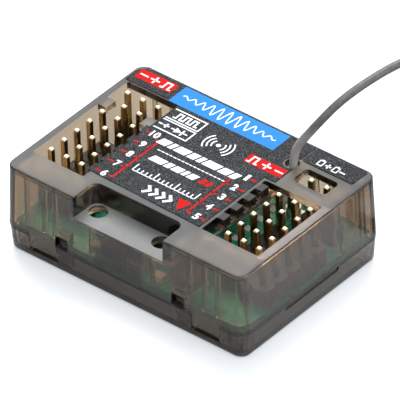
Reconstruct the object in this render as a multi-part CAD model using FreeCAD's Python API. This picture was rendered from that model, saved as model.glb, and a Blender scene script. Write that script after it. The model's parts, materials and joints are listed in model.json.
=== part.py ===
"""Ten-channel radio-control receiver: snap-together case, board, pin headers and aerial lead.

Frame: origin at the bottom centre of the case, +X along the long side to the right when the
label is read, +Y away from the reader, +Z up. All lengths are in millimetres.
"""
import FreeCAD, Part
import math
import os

V = FreeCAD.Vector

# Case outline. The walls lean out from the top face down to the seam.
case_length = 39.0
case_width = 27.4
case_height = 13.2
case_corner = 1.5
shell_flare = 0.35
top_edge_round = 0.25
wall = 1.1
plate = 1.0
seam_z = 3.8
seam_bevel = 0.15
smallest_corner = 0.4

# Bottom cover. It stands a little inside the shell at the seam.
cover_inset = 0.1
cover_taper = 0.3
cover_floor = 1.0
cover_edge_round = 0.7
grip_half = 5.3
grip_height = 0.7
grip_depth = 0.35

# Snap hooks of the cover and the windows of the shell that they click into.
hook_from_left = 9.35
hook_from_right = 10.35
hook_width = 1.8
hook_thickness = 0.8
hook_play = 0.05
hook_reach = 0.65
hook_lead_in = 0.75
barb_lip = 0.75
barb_slope = 0.85
window_sill = 0.3
window_height = 1.8
window_side_play = 0.1

# Pry slots in the front of the cover, closed from above by tongues of the shell.
tongue_from_left = 6.0
tongue_from_right = 6.1
tongue_width = 4.5
tongue_thickness = 0.8
tongue_play = 0.06
tongue_drop = 1.85
tongue_root = 0.3
slot_gap = 0.8

# Ribs inside the walls of the shell, which hold the board down on its posts. Those of the long
# walls are placed from the tongues, hooks and peep holes, those of the right wall from the port.
rib_width = 0.4
rib_reach = 0.45
rib_over_board = 0.15
ribs_from_tongues = ((-3.0, -0.1), (-0.6, 1.6))
ribs_from_hooks = (-1.75, 1.25)
ribs_from_peeps = (0.6, 0.3)
rib_from_recess_middle = 0.2
rib_from_port_front = 0.1
ribs_behind_port = (1.0, 1.9)

# Pin grid. Channels 6 to 10 stand in the left bank and channels 5 to 1 in the right one.
# The insets lead from the ends of the case to the first pins, and the shifts from the middle of
# its width to the middle row of each bank.
pitch = 2.54
pin_side = 0.64
pin_point = 0.16
pin_length = 5.91
pin_tail = 1.2
bank_channels = 5
bank_columns = 3
short_columns = 2
left_bank_inset = 2.28
left_bank_shift = 0.37
right_bank_inset = 7.67
right_bank_shift = -1.87
battery_inset = 6.3
battery_behind_bank = 4.86
lamp_shift = 1.524
base_height = 2.54
base_gap = 0.1
base_bevel = 0.45

# Room of each opening round its pins: left, front, right, back.
left_well_room = (1.18, 2.25, 2.19, 1.51)
right_well_room = (2.93, 1.75, 1.24, 0.89)
battery_port_room = (1.7, 1.87, 1.11, 1.23)
well_corner = 0.3
port_corner = 0.7

# Keys along the wells, which guide the plugs.
key_depth = 1.6
left_key_reach = 0.5
left_key_length = 1.6
right_key_reach = 1.15
right_key_length = 1.35
right_key_shift = -0.54
key_rail = 0.3
lamp_key_length = 1.9
lamp_key_before_row = 1.05
lamp_key_left_reach = 1.4
lamp_key_right_reach = 1.55

# Recess in the front of the shell with its two peep holes.
recess_from_left_well = 1.85
recess_from_right_well = 2.25
recess_depth = 4.4
recess_drop = 3.2
recess_corner = 1.2
peep_from_recess_left = 1.7
peep_from_recess_right = 2.65
peep_from_front = 2.85
peep_radius = 1.3

# Board and the posts that it lies on.
board_top = 4.55
board_thickness = 1.0
board_margin = 0.2
board_corner = 1.0
board_hole_radius = 0.5
post_side = 1.8
post_inset = 0.9

# Components on the board, each size as length, width and height. The crystal, the reservoir
# capacitors and two chip capacitors are placed from the status lamps under the peep holes.
shield_size = (9.0, 9.0, 2.0)
shield_at = (-4.2, 6.2)
shield_round = 0.4
shield_sheet = 0.2
controller_size = (7.0, 7.0, 1.2)
controller_at = (-2.6, -3.6)
controller_bevel = 0.12
dimple_radius = 0.45
dimple_depth = 0.1
lead_count = 8
lead_pitch = 0.75
lead_width = 0.32
lead_reach = 0.8
lead_height = 0.35
regulator_size = (6.4, 3.5, 1.6)
regulator_at = (5.2, -4.4)
regulator_leg = (0.75, 1.4, 0.3)
regulator_leg_pitch = 2.3
regulator_tab_width = 2.25
crystal_size = (3.2, 2.5, 0.8)
crystal_from_left_lamp = (6.6, 0.65)
crystal_round = 0.3
tantalum_size = (3.4, 2.8, 1.8)
tantalum_from_lamp = ((3.0, 0.65), (3.6, 1.25))
chip_size = (1.6, 0.8, 0.5)
resistor_count = 5
resistor_step = 1.27
resistor_at = (3.6, 5.0)
capacitor_at = ((-7.0, 12.0), (-4.4, 12.0), (-1.8, 12.0), (2.4, 1.4))
capacitor_from_left_lamp = ((-1.3, 2.25), (-1.3, 3.55))
lamp_size = (1.6, 1.2, 0.7)

# Printed films on the top face.
film = 0.12
label_from_left = 0.5
label_from_back = 0.4
label_from_recess = 0.75
label_from_right_well = 0.45
label_back_strip = 0.2
label_corner_cut = 1.1
label_step_gap = 0.35
label_past_aerial = 0.8
label_round_aerial = 0.25
strip_from_aerial = 0.6
strip_from_port = 0.8
strip_from_right = 1.25
strip_from_back = 0.35
strip_corner = 0.25
strip_gap = 0.25

# Aerial lead. It stands in a sleeve on a socket of the board and comes out of its hole.
lead_diameter = 1.13
aerial_from_battery = 3.8
aerial_behind_battery = 0.88
aerial_hole_radius = 1.0
socket_side = 2.6
socket_base = 0.6
socket_collar_radius = 1.0
socket_collar = 1.2
sleeve_radius = 0.8
sleeve_mouth_radius = 0.68
sleeve_length = 4.45
coil_x = 25.6
coil_y = 25.4
coil_turn_radius = 6.8
coil_turns_across = 2
coil_entry = 4.4
coil_skin = 0.05

# The lead's route from the sleeve, point by point, down to the coil on the floor.
lead_rise = 15.0
lead_route = (
    (11.5, 9.65, 18.7),
    (13.8, 14.7, 23.3),
    (16.85, 25.5, 24.8),
    (21.85, 33.65, 22.5),
    (27.6, 39.2, 16.6),
    (31.2, 41.0, 9.4),
    (32.8, 39.9, 3.6),
)
lead_landing = 9.2
bend_share = 0.45

# Places worked out from the sizes above.
half_length = case_length / 2
half_width = case_width / 2
plate_bottom = case_height - plate
shelf_z = case_height - recess_drop
board_bottom = board_top - board_thickness
pin_top = board_top + base_height + pin_length
window_bottom = seam_z + window_sill
window_top = window_bottom + window_height
barb_bottom = window_bottom + hook_play
barb_top = barb_bottom + barb_lip + barb_slope
tongue_bottom = seam_z - tongue_drop
slot_bottom = tongue_bottom - slot_gap
hook_x = (-half_length + hook_from_left, half_length - hook_from_right)
tongue_x = (-half_length + tongue_from_left, half_length - tongue_from_right)
left_bank_x = -half_length + left_bank_inset
left_bank_y = left_bank_shift - pitch * (bank_channels + 1) / 2
right_bank_x = half_length - right_bank_inset
right_bank_y = right_bank_shift - pitch * (bank_channels - 1) / 2
battery_x = half_length - battery_inset
battery_y = right_bank_y + pitch * (bank_channels - 1) + battery_behind_bank
aerial_x = battery_x - aerial_from_battery
aerial_y = battery_y + aerial_behind_battery
socket_top = board_top + socket_base + socket_collar
sleeve_top = socket_top + sleeve_length
coil_end_x = coil_x + coil_turn_radius + lead_diameter / 2


def rounded_wire(length, width, radius, z, centre=(0.0, 0.0)):
    """Closed wire of a rectangle with round corners at height z."""
    hx, hy = length / 2, width / 2
    cx, cy = centre
    k = radius * math.sqrt(0.5)
    ends = []
    edges = []
    for px, py, sx, sy in ((hx, hy, 1, 1), (-hx, hy, -1, 1), (-hx, -hy, -1, -1), (hx, -hy, 1, -1)):
        ox, oy = px - sx * radius, py - sy * radius
        along_y = V(cx + px, cy + oy, z)
        along_x = V(cx + ox, cy + py, z)
        middle = V(cx + ox + sx * k, cy + oy + sy * k, z)
        first, last = (along_y, along_x) if sx * sy > 0 else (along_x, along_y)
        ends.append((first, last))
        edges.append(Part.Arc(first, middle, last).toShape())
    for i in range(len(ends)):
        start, stop = ends[i][1], ends[(i + 1) % len(ends)][0]
        edges.append(Part.LineSegment(start, stop).toShape())
    return Part.Wire(Part.__sortEdges__(edges))


def rounded_block(length, width, radius, z_low, z_high, centre=(0.0, 0.0)):
    """Upright block with round corners."""
    face = Part.Face(rounded_wire(length, width, radius, z_low, centre))
    return face.extrude(V(0, 0, z_high - z_low))


def block(x_low, y_low, z_low, x_high, y_high, z_high):
    """Plain box between two corners."""
    return Part.makeBox(x_high - x_low, y_high - y_low, z_high - z_low, V(x_low, y_low, z_low))


def centred_block(size, at, z_low):
    """Box of a size, centred on a point of the board."""
    return block(at[0] - size[0] / 2, at[1] - size[1] / 2, z_low,
                 at[0] + size[0] / 2, at[1] + size[1] / 2, z_low + size[2])


def prism(points, rise):
    """Solid over a closed outline of points."""
    return Part.Face(Part.makePolygon(points + points[:1])).extrude(rise)


def opening(bounds, radius, z_low, z_high):
    """Round-cornered block over an area given by its bounds."""
    x_low, y_low, x_high, y_high = bounds
    return rounded_block(x_high - x_low, y_high - y_low, radius, z_low, z_high,
                         ((x_low + x_high) / 2, (y_low + y_high) / 2))


def edges_at(shape, z):
    """Edges of a shape that lie wholly at one height."""
    return [e for e in shape.Edges
            if abs(e.BoundBox.ZMin - z) < 1e-4 and abs(e.BoundBox.ZMax - z) < 1e-4]


def upright_edges(shape, height):
    """Edges of a shape that run straight up over its whole height."""
    return [e for e in shape.Edges if abs(e.BoundBox.ZLength - height) < 1e-4]


def flare_at(z):
    """How far a wall of the shell stands out from the top outline at height z."""
    return shell_flare * (case_height - z) / (case_height - seam_z)


def shell_loft(inset, z_low, z_high):
    """Leaning body of the shell between two heights, drawn in by an inset."""
    wires = []
    for z in (z_low, z_high):
        grow = flare_at(z) - inset
        radius = max(case_corner + grow, smallest_corner)
        wires.append(rounded_wire(case_length + 2 * grow, case_width + 2 * grow, radius, z))
    return Part.makeLoft(wires, True, True)


def cover_loft(inset, z_low, z_high):
    """Body of the cover between two heights, narrower towards the floor."""
    wires = []
    for z in (z_low, z_high):
        grow = shell_flare - cover_inset - inset - cover_taper * (seam_z - z) / seam_z
        radius = max(case_corner + grow, smallest_corner)
        wires.append(rounded_wire(case_length + 2 * grow, case_width + 2 * grow, radius, z))
    return Part.makeLoft(wires, True, True)


def shell_inner_y(z):
    """Half width of the room inside the shell at height z."""
    return half_width + flare_at(z) - wall


def hook_face_y():
    """Distance of the outer face of each hook from the middle of the case."""
    return shell_inner_y(barb_top) - hook_play


def left_rows():
    """Row places along Y of the left bank: five channels, the lamp row and the sum-signal row."""
    return [left_bank_y + pitch * i for i in range(bank_channels + 2)]


def right_rows():
    """Row places along Y of the right bank, front to back."""
    return [right_bank_y + pitch * i for i in range(bank_channels)]


def bounds_round(first_x, first_y, last_y, columns, room):
    """Bounds of an opening that leaves the given room round a block of pins."""
    return (first_x - room[0], first_y - room[1],
            first_x + pitch * (columns - 1) + room[2], last_y + room[3])


def left_well():
    """Bounds of the left opening."""
    return bounds_round(left_bank_x, left_bank_y, left_rows()[-1], bank_columns, left_well_room)


def right_well():
    """Bounds of the right opening."""
    return bounds_round(right_bank_x, right_bank_y, right_rows()[-1], bank_columns, right_well_room)


def battery_port():
    """Bounds of the opening over the battery pins."""
    return bounds_round(battery_x, battery_y, battery_y, short_columns, battery_port_room)


def recess_span():
    """Left and right end of the front recess, between the two wells."""
    return left_well()[2] + recess_from_left_well, right_well()[0] - recess_from_right_well


def peep_places():
    """Centres of the peep holes in the shelf."""
    low, high = recess_span()
    y = -half_width + peep_from_front
    return [(low + peep_from_recess_left, y), (high - peep_from_recess_right, y)]


def headers():
    """Every pin header as name, x of its first pin, y of its row and number of pins."""
    rows = left_rows()
    found = []
    for i in range(bank_channels):
        found.append(("channel_%02d" % (bank_channels + 1 + i), left_bank_x, rows[i], bank_columns))
    found.append(("lamp", left_bank_x + lamp_shift, rows[bank_channels], short_columns))
    found.append(("sum_signal", left_bank_x, rows[bank_channels + 1], bank_columns))
    for i, y in enumerate(right_rows()):
        found.append(("channel_%02d" % (bank_channels - i), right_bank_x, y, bank_columns))
    found.append(("battery", battery_x, battery_y, short_columns))
    return found


def pin_places(x, y, count):
    """Centre of every pin of one header."""
    return [(x + pitch * i, y) for i in range(count)]


def comb_keys():
    """Keys on the inner sides of both wells, with the rail under the right ones."""
    z_low = case_height - key_depth
    keys = []
    x = left_well()[2]
    for y in left_rows()[:bank_channels]:
        keys.append(block(x - left_key_reach, y - left_key_length / 2, z_low,
                          x + wall, y + left_key_length / 2, case_height))
    x, y_low, _, y_high = right_well()
    for y in right_rows()[:-1]:
        middle = y + pitch + right_key_shift
        keys.append(block(x - wall, middle - right_key_length / 2, z_low,
                          x + right_key_reach, middle + right_key_length / 2, case_height))
    rail_x = x + right_key_reach
    keys.append(block(rail_x - key_rail, y_low - plate, z_low, rail_x, y_high + plate, z_low + key_rail))
    return keys


def lamp_keys():
    """Two tabs that narrow the left well for the two-pin lamp plug."""
    middle = left_rows()[bank_channels] - lamp_key_before_row
    y_low, y_high = middle - lamp_key_length / 2, middle + lamp_key_length / 2
    x_low, _, x_high, _ = left_well()
    return [block(x_low - wall / 2, y_low, plate_bottom, x_low + lamp_key_left_reach, y_high, case_height),
            block(x_high - lamp_key_right_reach, y_low, plate_bottom, x_high + wall, y_high, case_height)]


def recess_box(skin):
    """The front recess as a solid, thickened by a skin on its closed sides."""
    x_low, x_high = recess_span()
    front = -shell_inner_y(shelf_z) if skin else -(half_width + 2 * shell_flare)
    back = -half_width + recess_depth + skin
    top = case_height if skin else case_height + plate
    body = block(x_low - skin, front, shelf_z - skin, x_high + skin, back, top)
    corners = [e for e in upright_edges(body, top - shelf_z + skin) if abs(e.BoundBox.YMax - back) < 1e-4]
    return body.makeFillet(recess_corner, corners)


def hook_windows():
    """Cutters of the four windows, through the front and the back wall."""
    half = hook_width / 2 + window_side_play
    inside = shell_inner_y(window_top) - wall / 2
    windows = []
    for x in hook_x:
        windows.append(block(x - half, -case_width, window_bottom, x + half, -inside, window_top))
        windows.append(block(x - half, inside, window_bottom, x + half, case_width, window_top))
    return windows


def shell_tongues():
    """Tongues that reach down from the front wall into the slots of the cover."""
    inner = -shell_inner_y(seam_z)
    return [block(x - tongue_width / 2, inner - tongue_thickness, tongue_bottom,
                  x + tongue_width / 2, inner, seam_z + tongue_root) for x in tongue_x]


def rib_places():
    """Places along X of the ribs inside the long walls."""
    places = [tongue + shift for tongue, shifts in zip(tongue_x, ribs_from_tongues) for shift in shifts]
    places += [hook + shift for hook, shift in zip(hook_x, ribs_from_hooks)]
    places += [peep[0] + shift for peep, shift in zip(peep_places(), ribs_from_peeps)]
    places.append(sum(recess_span()) / 2 + rib_from_recess_middle)
    return places


def wall_ribs():
    """Upright ribs inside the front, back and right walls, from the top plate down to the board."""
    low, high, half = board_top + rib_over_board, case_height - plate / 2, rib_width / 2
    inner = half_width - wall - rib_reach
    outer = half_width - wall / 2
    ribs = []
    for x in rib_places():
        ribs.append(block(x - half, -outer, low, x + half, -inner, high))
        ribs.append(block(x - half, inner, low, x + half, outer, high))
    inner = half_length - wall - rib_reach
    outer = half_length - wall / 2
    _, port_front, _, port_back = battery_port()
    for y in [port_front + rib_from_port_front] + [port_back + shift for shift in ribs_behind_port]:
        ribs.append(block(inner, y - half, low, outer, y + half, high))
    return ribs


def build_upper_shell():
    """Moulded top housing with its wells, keys, recess, windows and tongues."""
    outer = shell_loft(0.0, seam_z, case_height)
    outer = outer.makeFillet(top_edge_round, edges_at(outer, case_height))
    outer = outer.makeChamfer(seam_bevel, edges_at(outer, seam_z))
    shell = outer.cut(shell_loft(wall, seam_z, plate_bottom))
    shell = shell.fuse([recess_box(plate)] + wall_ribs()).cut(recess_box(0.0))
    for bounds, radius in ((left_well(), well_corner), (right_well(), well_corner),
                           (battery_port(), port_corner)):
        shell = shell.cut(opening(bounds, radius, plate_bottom - plate, case_height + plate))
    shell = shell.fuse(comb_keys() + lamp_keys())
    cutters = [Part.makeCylinder(peep_radius, 3 * plate, V(x, y, shelf_z - 2 * plate)) for x, y in peep_places()]
    cutters.append(Part.makeCylinder(aerial_hole_radius, 3 * plate, V(aerial_x, aerial_y, plate_bottom - plate)))
    shell = shell.cut(cutters + hook_windows())
    return shell.fuse(shell_tongues()).removeSplitter()


def snap_hooks():
    """The four hooks, each an upright spring with a barb that slopes in at its top."""
    hooks = []
    face = hook_face_y()
    root = cover_floor / 2
    for x in hook_x:
        for side in (-1, 1):
            profile = [(face - hook_thickness, root), (face, root), (face, barb_bottom),
                       (face + hook_reach, barb_bottom), (face + hook_reach, barb_bottom + barb_lip),
                       (face, barb_top), (face, barb_top + hook_lead_in),
                       (face - hook_thickness, barb_top + hook_lead_in)]
            points = [V(x - hook_width / 2, side * y, z) for y, z in profile]
            hooks.append(prism(points, V(hook_width, 0, 0)))
    return hooks


def cover_notches():
    """Cutters of the two front slots and of the grip groove at each end of the cover."""
    half = tongue_width / 2 + tongue_play
    notches = [block(x - half, -case_width, slot_bottom, x + half, -half_width + 2 * wall, seam_z + wall)
               for x in tongue_x]
    face_x = half_length + shell_flare - cover_inset
    for side in (-1, 1):
        x_in, x_out = sorted((side * (face_x - grip_depth), side * (face_x + wall)))
        notches.append(block(x_in, -grip_half, seam_z - grip_height, x_out, grip_half, seam_z + wall))
    return notches


def board_posts():
    """Posts in the corners of the cover that carry the board."""
    px = half_length - wall - post_inset
    py = half_width - wall - post_inset
    size = (post_side, post_side, board_bottom - cover_floor)
    return [centred_block(size, (sx * px, sy * py), cover_floor) for sx in (-1, 1) for sy in (-1, 1)]


def build_bottom_cover():
    """Tray with a leaning wall, pry slots, grip grooves, posts and four snap hooks."""
    body = cover_loft(0.0, 0.0, seam_z)
    body = body.makeFillet(cover_edge_round, edges_at(body, 0.0))
    body = body.makeChamfer(seam_bevel, edges_at(body, seam_z))
    body = body.cut(cover_loft(wall, cover_floor, seam_z))
    body = body.cut(cover_notches())
    return body.fuse(board_posts() + snap_hooks()).removeSplitter()


def build_main_board():
    """Circuit board with a plated hole under each pin and notches that clear the hooks."""
    grow = shell_flare - cover_inset - wall - board_margin
    board = rounded_block(case_length + 2 * grow, case_width + 2 * grow, board_corner, board_bottom, board_top)
    below = board_bottom - board_thickness / 2
    cutters = []
    for _, x, y, count in headers():
        for px, py in pin_places(x, y, count):
            cutters.append(Part.makeCylinder(board_hole_radius, 2 * board_thickness, V(px, py, below)))
    inner = hook_face_y() - hook_thickness - board_margin
    half = hook_width / 2 + board_margin
    for x in hook_x:
        for side in (-1, 1):
            y_low, y_high = sorted((side * inner, side * case_width))
            cutters.append(block(x - half, y_low, below, x + half, y_high, board_top + board_thickness))
    return board.cut(cutters)


def pin(x, y):
    """One square contact post, bevelled at both ends."""
    low = board_bottom - pin_tail
    post = block(x - pin_side / 2, y - pin_side / 2, low, x + pin_side / 2, y + pin_side / 2, pin_top)
    return post.makeChamfer(pin_point, edges_at(post, pin_top) + edges_at(post, low))


def build_pins(x, y, count):
    """The contact posts of one header."""
    return Part.makeCompound([pin(px, py) for px, py in pin_places(x, y, count)])


def build_header_base(x, y, count):
    """Moulded carrier of one header, bevelled between its cells, with a hole for each pin."""
    half = (pitch - base_gap) / 2
    front = []
    for px, _ in pin_places(x, y, count):
        near, far = px - pitch / 2, px + pitch / 2
        front += [(near, half - base_bevel), (near + base_bevel, half), (far - base_bevel, half)]
    front.append((x + pitch * (count - 0.5), half - base_bevel))
    points = [V(px, y - reach, board_top) for px, reach in front]
    points += [V(px, y + reach, board_top) for px, reach in reversed(front)]
    body = prism(points, V(0, 0, base_height))
    return body.cut([pin(px, py) for px, py in pin_places(x, y, count)])


def build_shield():
    """Pressed metal can over the radio section, open below."""
    length, width, height = shield_size
    can = centred_block(shield_size, shield_at, board_top)
    can = can.makeFillet(shield_round, upright_edges(can, height))
    can = can.makeFillet(shield_round / 2, edges_at(can, board_top + height))
    room = (length - 2 * shield_sheet, width - 2 * shield_sheet, height - shield_sheet)
    return can.cut(centred_block(room, shield_at, board_top))


def build_controller():
    """Square processor package with a dimple at its first lead."""
    length, width, height = controller_size
    top = board_top + height
    body = centred_block(controller_size, controller_at, board_top)
    body = body.makeChamfer(controller_bevel, edges_at(body, top))
    corner = V(controller_at[0] - length / 2 + 2 * dimple_radius,
               controller_at[1] - width / 2 + 2 * dimple_radius, top - dimple_depth)
    return body.cut(Part.makeCylinder(dimple_radius, height, corner))


def build_controller_leads():
    """Leads along the four sides of the processor, each flat on the board."""
    leads = []
    start = controller_size[0] / 2
    for side in range(4):
        for i in range(lead_count):
            across = (i - (lead_count - 1) / 2) * lead_pitch
            lead = block(start, across - lead_width / 2, board_top, start + lead_reach,
                         across + lead_width / 2, board_top + lead_height)
            lead.rotate(V(0, 0, 0), V(0, 0, 1), 90 * side)
            lead.translate(V(controller_at[0], controller_at[1], 0))
            leads.append(lead)
    return Part.makeCompound(leads)


def build_regulator():
    """Voltage regulator with its heat tab and three legs."""
    body = centred_block(regulator_size, regulator_at, board_top)
    leg_width, reach, thick = regulator_leg
    x, y = regulator_at
    half = regulator_size[1] / 2 + reach / 2
    legs = [centred_block((leg_width, reach, thick), (x + i * regulator_leg_pitch, y - half), board_top)
            for i in (-1, 0, 1)]
    legs.append(centred_block((regulator_tab_width, reach, thick), (x, y + half), board_top))
    return body.fuse(legs).removeSplitter()


def build_crystal():
    """Low metal can of the clock crystal."""
    (x, y), _ = peep_places()
    dx, dy = crystal_from_left_lamp
    body = centred_block(crystal_size, (x + dx, y + dy), board_top)
    return body.makeFillet(crystal_round, edges_at(body, board_top + crystal_size[2]))


def build_tantalums():
    """Two moulded reservoir capacitors, one beside each status lamp."""
    return Part.makeCompound([centred_block(tantalum_size, (x + dx, y + dy), board_top)
                              for (x, y), (dx, dy) in zip(peep_places(), tantalum_from_lamp)])


def build_resistors():
    """A row of small chip resistors beside the right bank."""
    x, y = resistor_at
    return Part.makeCompound([centred_block(chip_size, (x, y + i * resistor_step), board_top)
                              for i in range(resistor_count)])


def build_capacitors():
    """Small chip capacitors."""
    x, y = peep_places()[0]
    places = list(capacitor_at) + [(x + dx, y + dy) for dx, dy in capacitor_from_left_lamp]
    return Part.makeCompound([centred_block(chip_size, at, board_top) for at in places])


def build_status_lamps():
    """A surface lamp under each peep hole of the shelf."""
    return Part.makeCompound([centred_block(lamp_size, at, board_top) for at in peep_places()])


def build_aerial_socket():
    """Soldered base and collar that the aerial lead stands in."""
    base = centred_block((socket_side, socket_side, socket_base), (aerial_x, aerial_y), board_top)
    collar = Part.makeCylinder(socket_collar_radius, socket_collar, V(aerial_x, aerial_y, board_top + socket_base))
    return base.fuse(collar).removeSplitter()


def build_aerial_sleeve():
    """Shrunk sleeve over the soldered end of the lead, tapered to its mouth."""
    return Part.makeCone(sleeve_radius, sleeve_mouth_radius, sleeve_length, V(aerial_x, aerial_y, socket_top))


def label_outline():
    """Outline of the main label, toothed along the left well."""
    well_right, well_back = left_well()[2], left_well()[3]
    left, back = -half_length + label_from_left, half_width - label_from_back
    front = -half_width + recess_depth + label_from_recess
    right = right_well()[0] - label_from_right_well
    step_x, step_y = aerial_x + label_past_aerial, right_well()[3] + label_step_gap
    strip_left, strip_front, _, _ = strip_bounds()
    points = [(right, front), (right, step_y), (step_x, step_y), (step_x, strip_front - strip_gap),
              (strip_left - strip_gap, strip_front - strip_gap), (strip_left - strip_gap, back),
              (left + label_corner_cut, back), (left, back - label_corner_cut),
              (left, well_back + label_back_strip), (well_right, well_back + label_back_strip)]
    for y in reversed(left_rows()[:bank_channels]):
        high, low = y + left_key_length / 2, max(y - left_key_length / 2, front)
        points += [(well_right, high), (well_right - left_key_reach, high), (well_right - left_key_reach, low)]
        if low > front:
            points.append((well_right, low))
    return points


def build_top_label():
    """Printed film of the main label, cut away round the aerial hole."""
    sheet = prism([V(x, y, case_height) for x, y in label_outline()], V(0, 0, film))
    hole = Part.makeCylinder(aerial_hole_radius + label_round_aerial, 2 * film,
                             V(aerial_x, aerial_y, case_height - film / 2))
    return sheet.cut(hole)


def strip_bounds():
    """Bounds of the film behind the battery port."""
    return (aerial_x + strip_from_aerial, battery_port()[3] + strip_from_port,
            half_length - strip_from_right, half_width - strip_from_back)


def build_strip_label():
    """Printed film behind the battery port."""
    return opening(strip_bounds(), strip_corner, case_height, case_height + film)


def lead_points():
    """Control points of the lead from its sleeve down to the coil's entry."""
    low = lead_diameter / 2
    points = [V(aerial_x, aerial_y, sleeve_top), V(aerial_x, aerial_y, lead_rise)]
    points += [V(*p) for p in lead_route]
    points += [V(coil_end_x, coil_y + lead_landing, low), V(coil_end_x, coil_y + coil_entry, low)]
    return points


def build_aerial_lead():
    """Coaxial lead from its sleeve to the coil: straight runs joined by tangent arcs."""
    points = lead_points()
    edges = []
    start = points[0]
    for before, corner, after in zip(points, points[1:], points[2:]):
        first_run, second_run = corner - before, after - corner
        turn = first_run.getAngle(second_run)
        cut = bend_share * min(first_run.Length, second_run.Length)
        radius = cut / math.tan(turn / 2)
        into, out = first_run.normalize(), second_run.normalize()
        first, last = corner - into * cut, corner + out * cut
        inward = (out - into).normalize()
        middle = corner + inward * (radius / math.cos(turn / 2) - radius)
        edges.append(Part.LineSegment(start, first).toShape())
        edges.append(Part.Arc(first, middle, last).toShape())
        start = last
        print("lead bend radius %.1f mm, turn %.0f degrees" % (radius, math.degrees(turn)))
    edges.append(Part.LineSegment(start, points[-1]).toShape())
    path = Part.Wire(edges)
    circle = Part.makeCircle(lead_diameter / 2, points[0], V(0, 0, 1))
    tube = path.makePipeShell([Part.Wire([circle])], True, False)
    section = math.pi * lead_diameter ** 2 / 4
    print("lead length %.1f mm, volume over section times length %.4f"
          % (path.Length, tube.Volume / (section * path.Length)))
    return tube


def build_aerial_coil():
    """Outer shape of the coiled rest of the lead, with a straight stub towards the lead."""
    half = coil_turns_across * lead_diameter / 2 + coil_skin
    ring = Part.makeCylinder(coil_turn_radius + half, lead_diameter, V(coil_x, coil_y, 0))
    ring = ring.cut(Part.makeCylinder(coil_turn_radius - half, lead_diameter, V(coil_x, coil_y, 0)))
    stub = Part.makeCylinder(lead_diameter / 2, coil_entry, V(coil_end_x, coil_y, lead_diameter / 2), V(0, 1, 0))
    return ring.fuse(stub).removeSplitter()


def save(name, shape):
    """Write one node."""
    solids = shape.Solids
    print("%-24s solids %d volume %.2f valid %s" % (name, len(solids), shape.Volume, shape.isValid()))
    if len(solids) == 1:
        shape = solids[0]
    shape.exportStep("parts/%s.step" % name)


def main():
    """Build and write every node."""
    os.makedirs("parts", exist_ok=True)
    save("upper_shell", build_upper_shell())
    save("bottom_cover", build_bottom_cover())
    save("main_board", build_main_board())
    for name, x, y, count in headers():
        save("header_base_" + name, build_header_base(x, y, count))
        save("pins_" + name, build_pins(x, y, count))
    save("radio_shield", build_shield())
    save("controller_chip", build_controller())
    save("controller_leads", build_controller_leads())
    save("voltage_regulator", build_regulator())
    save("clock_crystal", build_crystal())
    save("reservoir_capacitors", build_tantalums())
    save("chip_resistors", build_resistors())
    save("chip_capacitors", build_capacitors())
    save("status_lamps", build_status_lamps())
    save("aerial_socket", build_aerial_socket())
    save("aerial_sleeve", build_aerial_sleeve())
    save("top_label", build_top_label())
    save("strip_label", build_strip_label())
    save("aerial_lead", build_aerial_lead())
    save("aerial_coil", build_aerial_coil())


main()
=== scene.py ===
"""Looks of a ten-channel radio-control receiver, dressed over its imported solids.

The frame is that of the solids: origin at the bottom centre of the case, +X along the long side,
+Y away from the reader and +Z up. Blender works in metres. Sizes in the classes below are in
millimetres where their names end in _mm or their class says so.
"""

import json
import logging
import math
from dataclasses import dataclass, field
from enum import Enum
from typing import Iterable, Sequence

import bmesh
import bpy
from mathutils import Matrix, Vector

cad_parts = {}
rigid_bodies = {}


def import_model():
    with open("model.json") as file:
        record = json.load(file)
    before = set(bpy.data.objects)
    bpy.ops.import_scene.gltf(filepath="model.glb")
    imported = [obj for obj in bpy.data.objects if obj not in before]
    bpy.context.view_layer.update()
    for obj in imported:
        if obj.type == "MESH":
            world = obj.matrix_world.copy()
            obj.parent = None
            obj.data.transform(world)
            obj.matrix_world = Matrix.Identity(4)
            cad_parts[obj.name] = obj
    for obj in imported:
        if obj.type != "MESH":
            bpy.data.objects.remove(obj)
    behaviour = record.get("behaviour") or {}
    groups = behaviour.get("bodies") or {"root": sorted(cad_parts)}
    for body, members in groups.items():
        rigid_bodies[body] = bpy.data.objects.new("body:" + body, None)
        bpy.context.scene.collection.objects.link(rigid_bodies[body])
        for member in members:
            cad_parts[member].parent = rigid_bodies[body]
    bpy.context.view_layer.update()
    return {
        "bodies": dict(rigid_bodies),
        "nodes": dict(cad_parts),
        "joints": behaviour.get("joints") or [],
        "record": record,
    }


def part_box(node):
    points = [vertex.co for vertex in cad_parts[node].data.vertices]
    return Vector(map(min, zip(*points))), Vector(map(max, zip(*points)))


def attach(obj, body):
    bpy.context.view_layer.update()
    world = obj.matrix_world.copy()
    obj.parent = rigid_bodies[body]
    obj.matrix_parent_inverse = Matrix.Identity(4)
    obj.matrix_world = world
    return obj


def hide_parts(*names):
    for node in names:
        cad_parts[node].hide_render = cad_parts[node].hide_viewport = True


LOG = logging.getLogger("receiver")
MM = 0.001
BODY = "root"
# Corners closer than this many metres are one, in the new pieces and in the copies of the solids
NEW_WELD_M = 1e-7
SOLID_WELD_M = 2e-7
# Most of a noise lies between these
NOISE_MIDDLE = (0.3, 0.7)
Socket = bpy.types.NodeSocket
Colour = tuple[float, float, float, float]
Block = tuple[float, float, float, float]
Place = tuple[float, float]
Point = tuple[float, float, float]


def shade(red: float, green: float, blue: float) -> Colour:
    """Turn a display colour into the linear colour that a shader takes.

    Args:
        red: Red, 0 to 255.
        green: Green, 0 to 255.
        blue: Blue, 0 to 255.

    Returns:
        Linear red, green and blue with an alpha of one.
    """
    def linear(value: float) -> float:
        """One channel, from display to linear."""
        value /= 255
        return value / 12.92 if value <= 0.04045 else ((value + 0.055) / 1.055) ** 2.4

    return linear(red), linear(green), linear(blue), 1.0


def scaled(tone: Colour, factor: float) -> Colour:
    """A colour made darker or lighter."""
    return tuple(min(c * factor, 1.0) for c in tone[:3]) + (1.0,)


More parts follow.
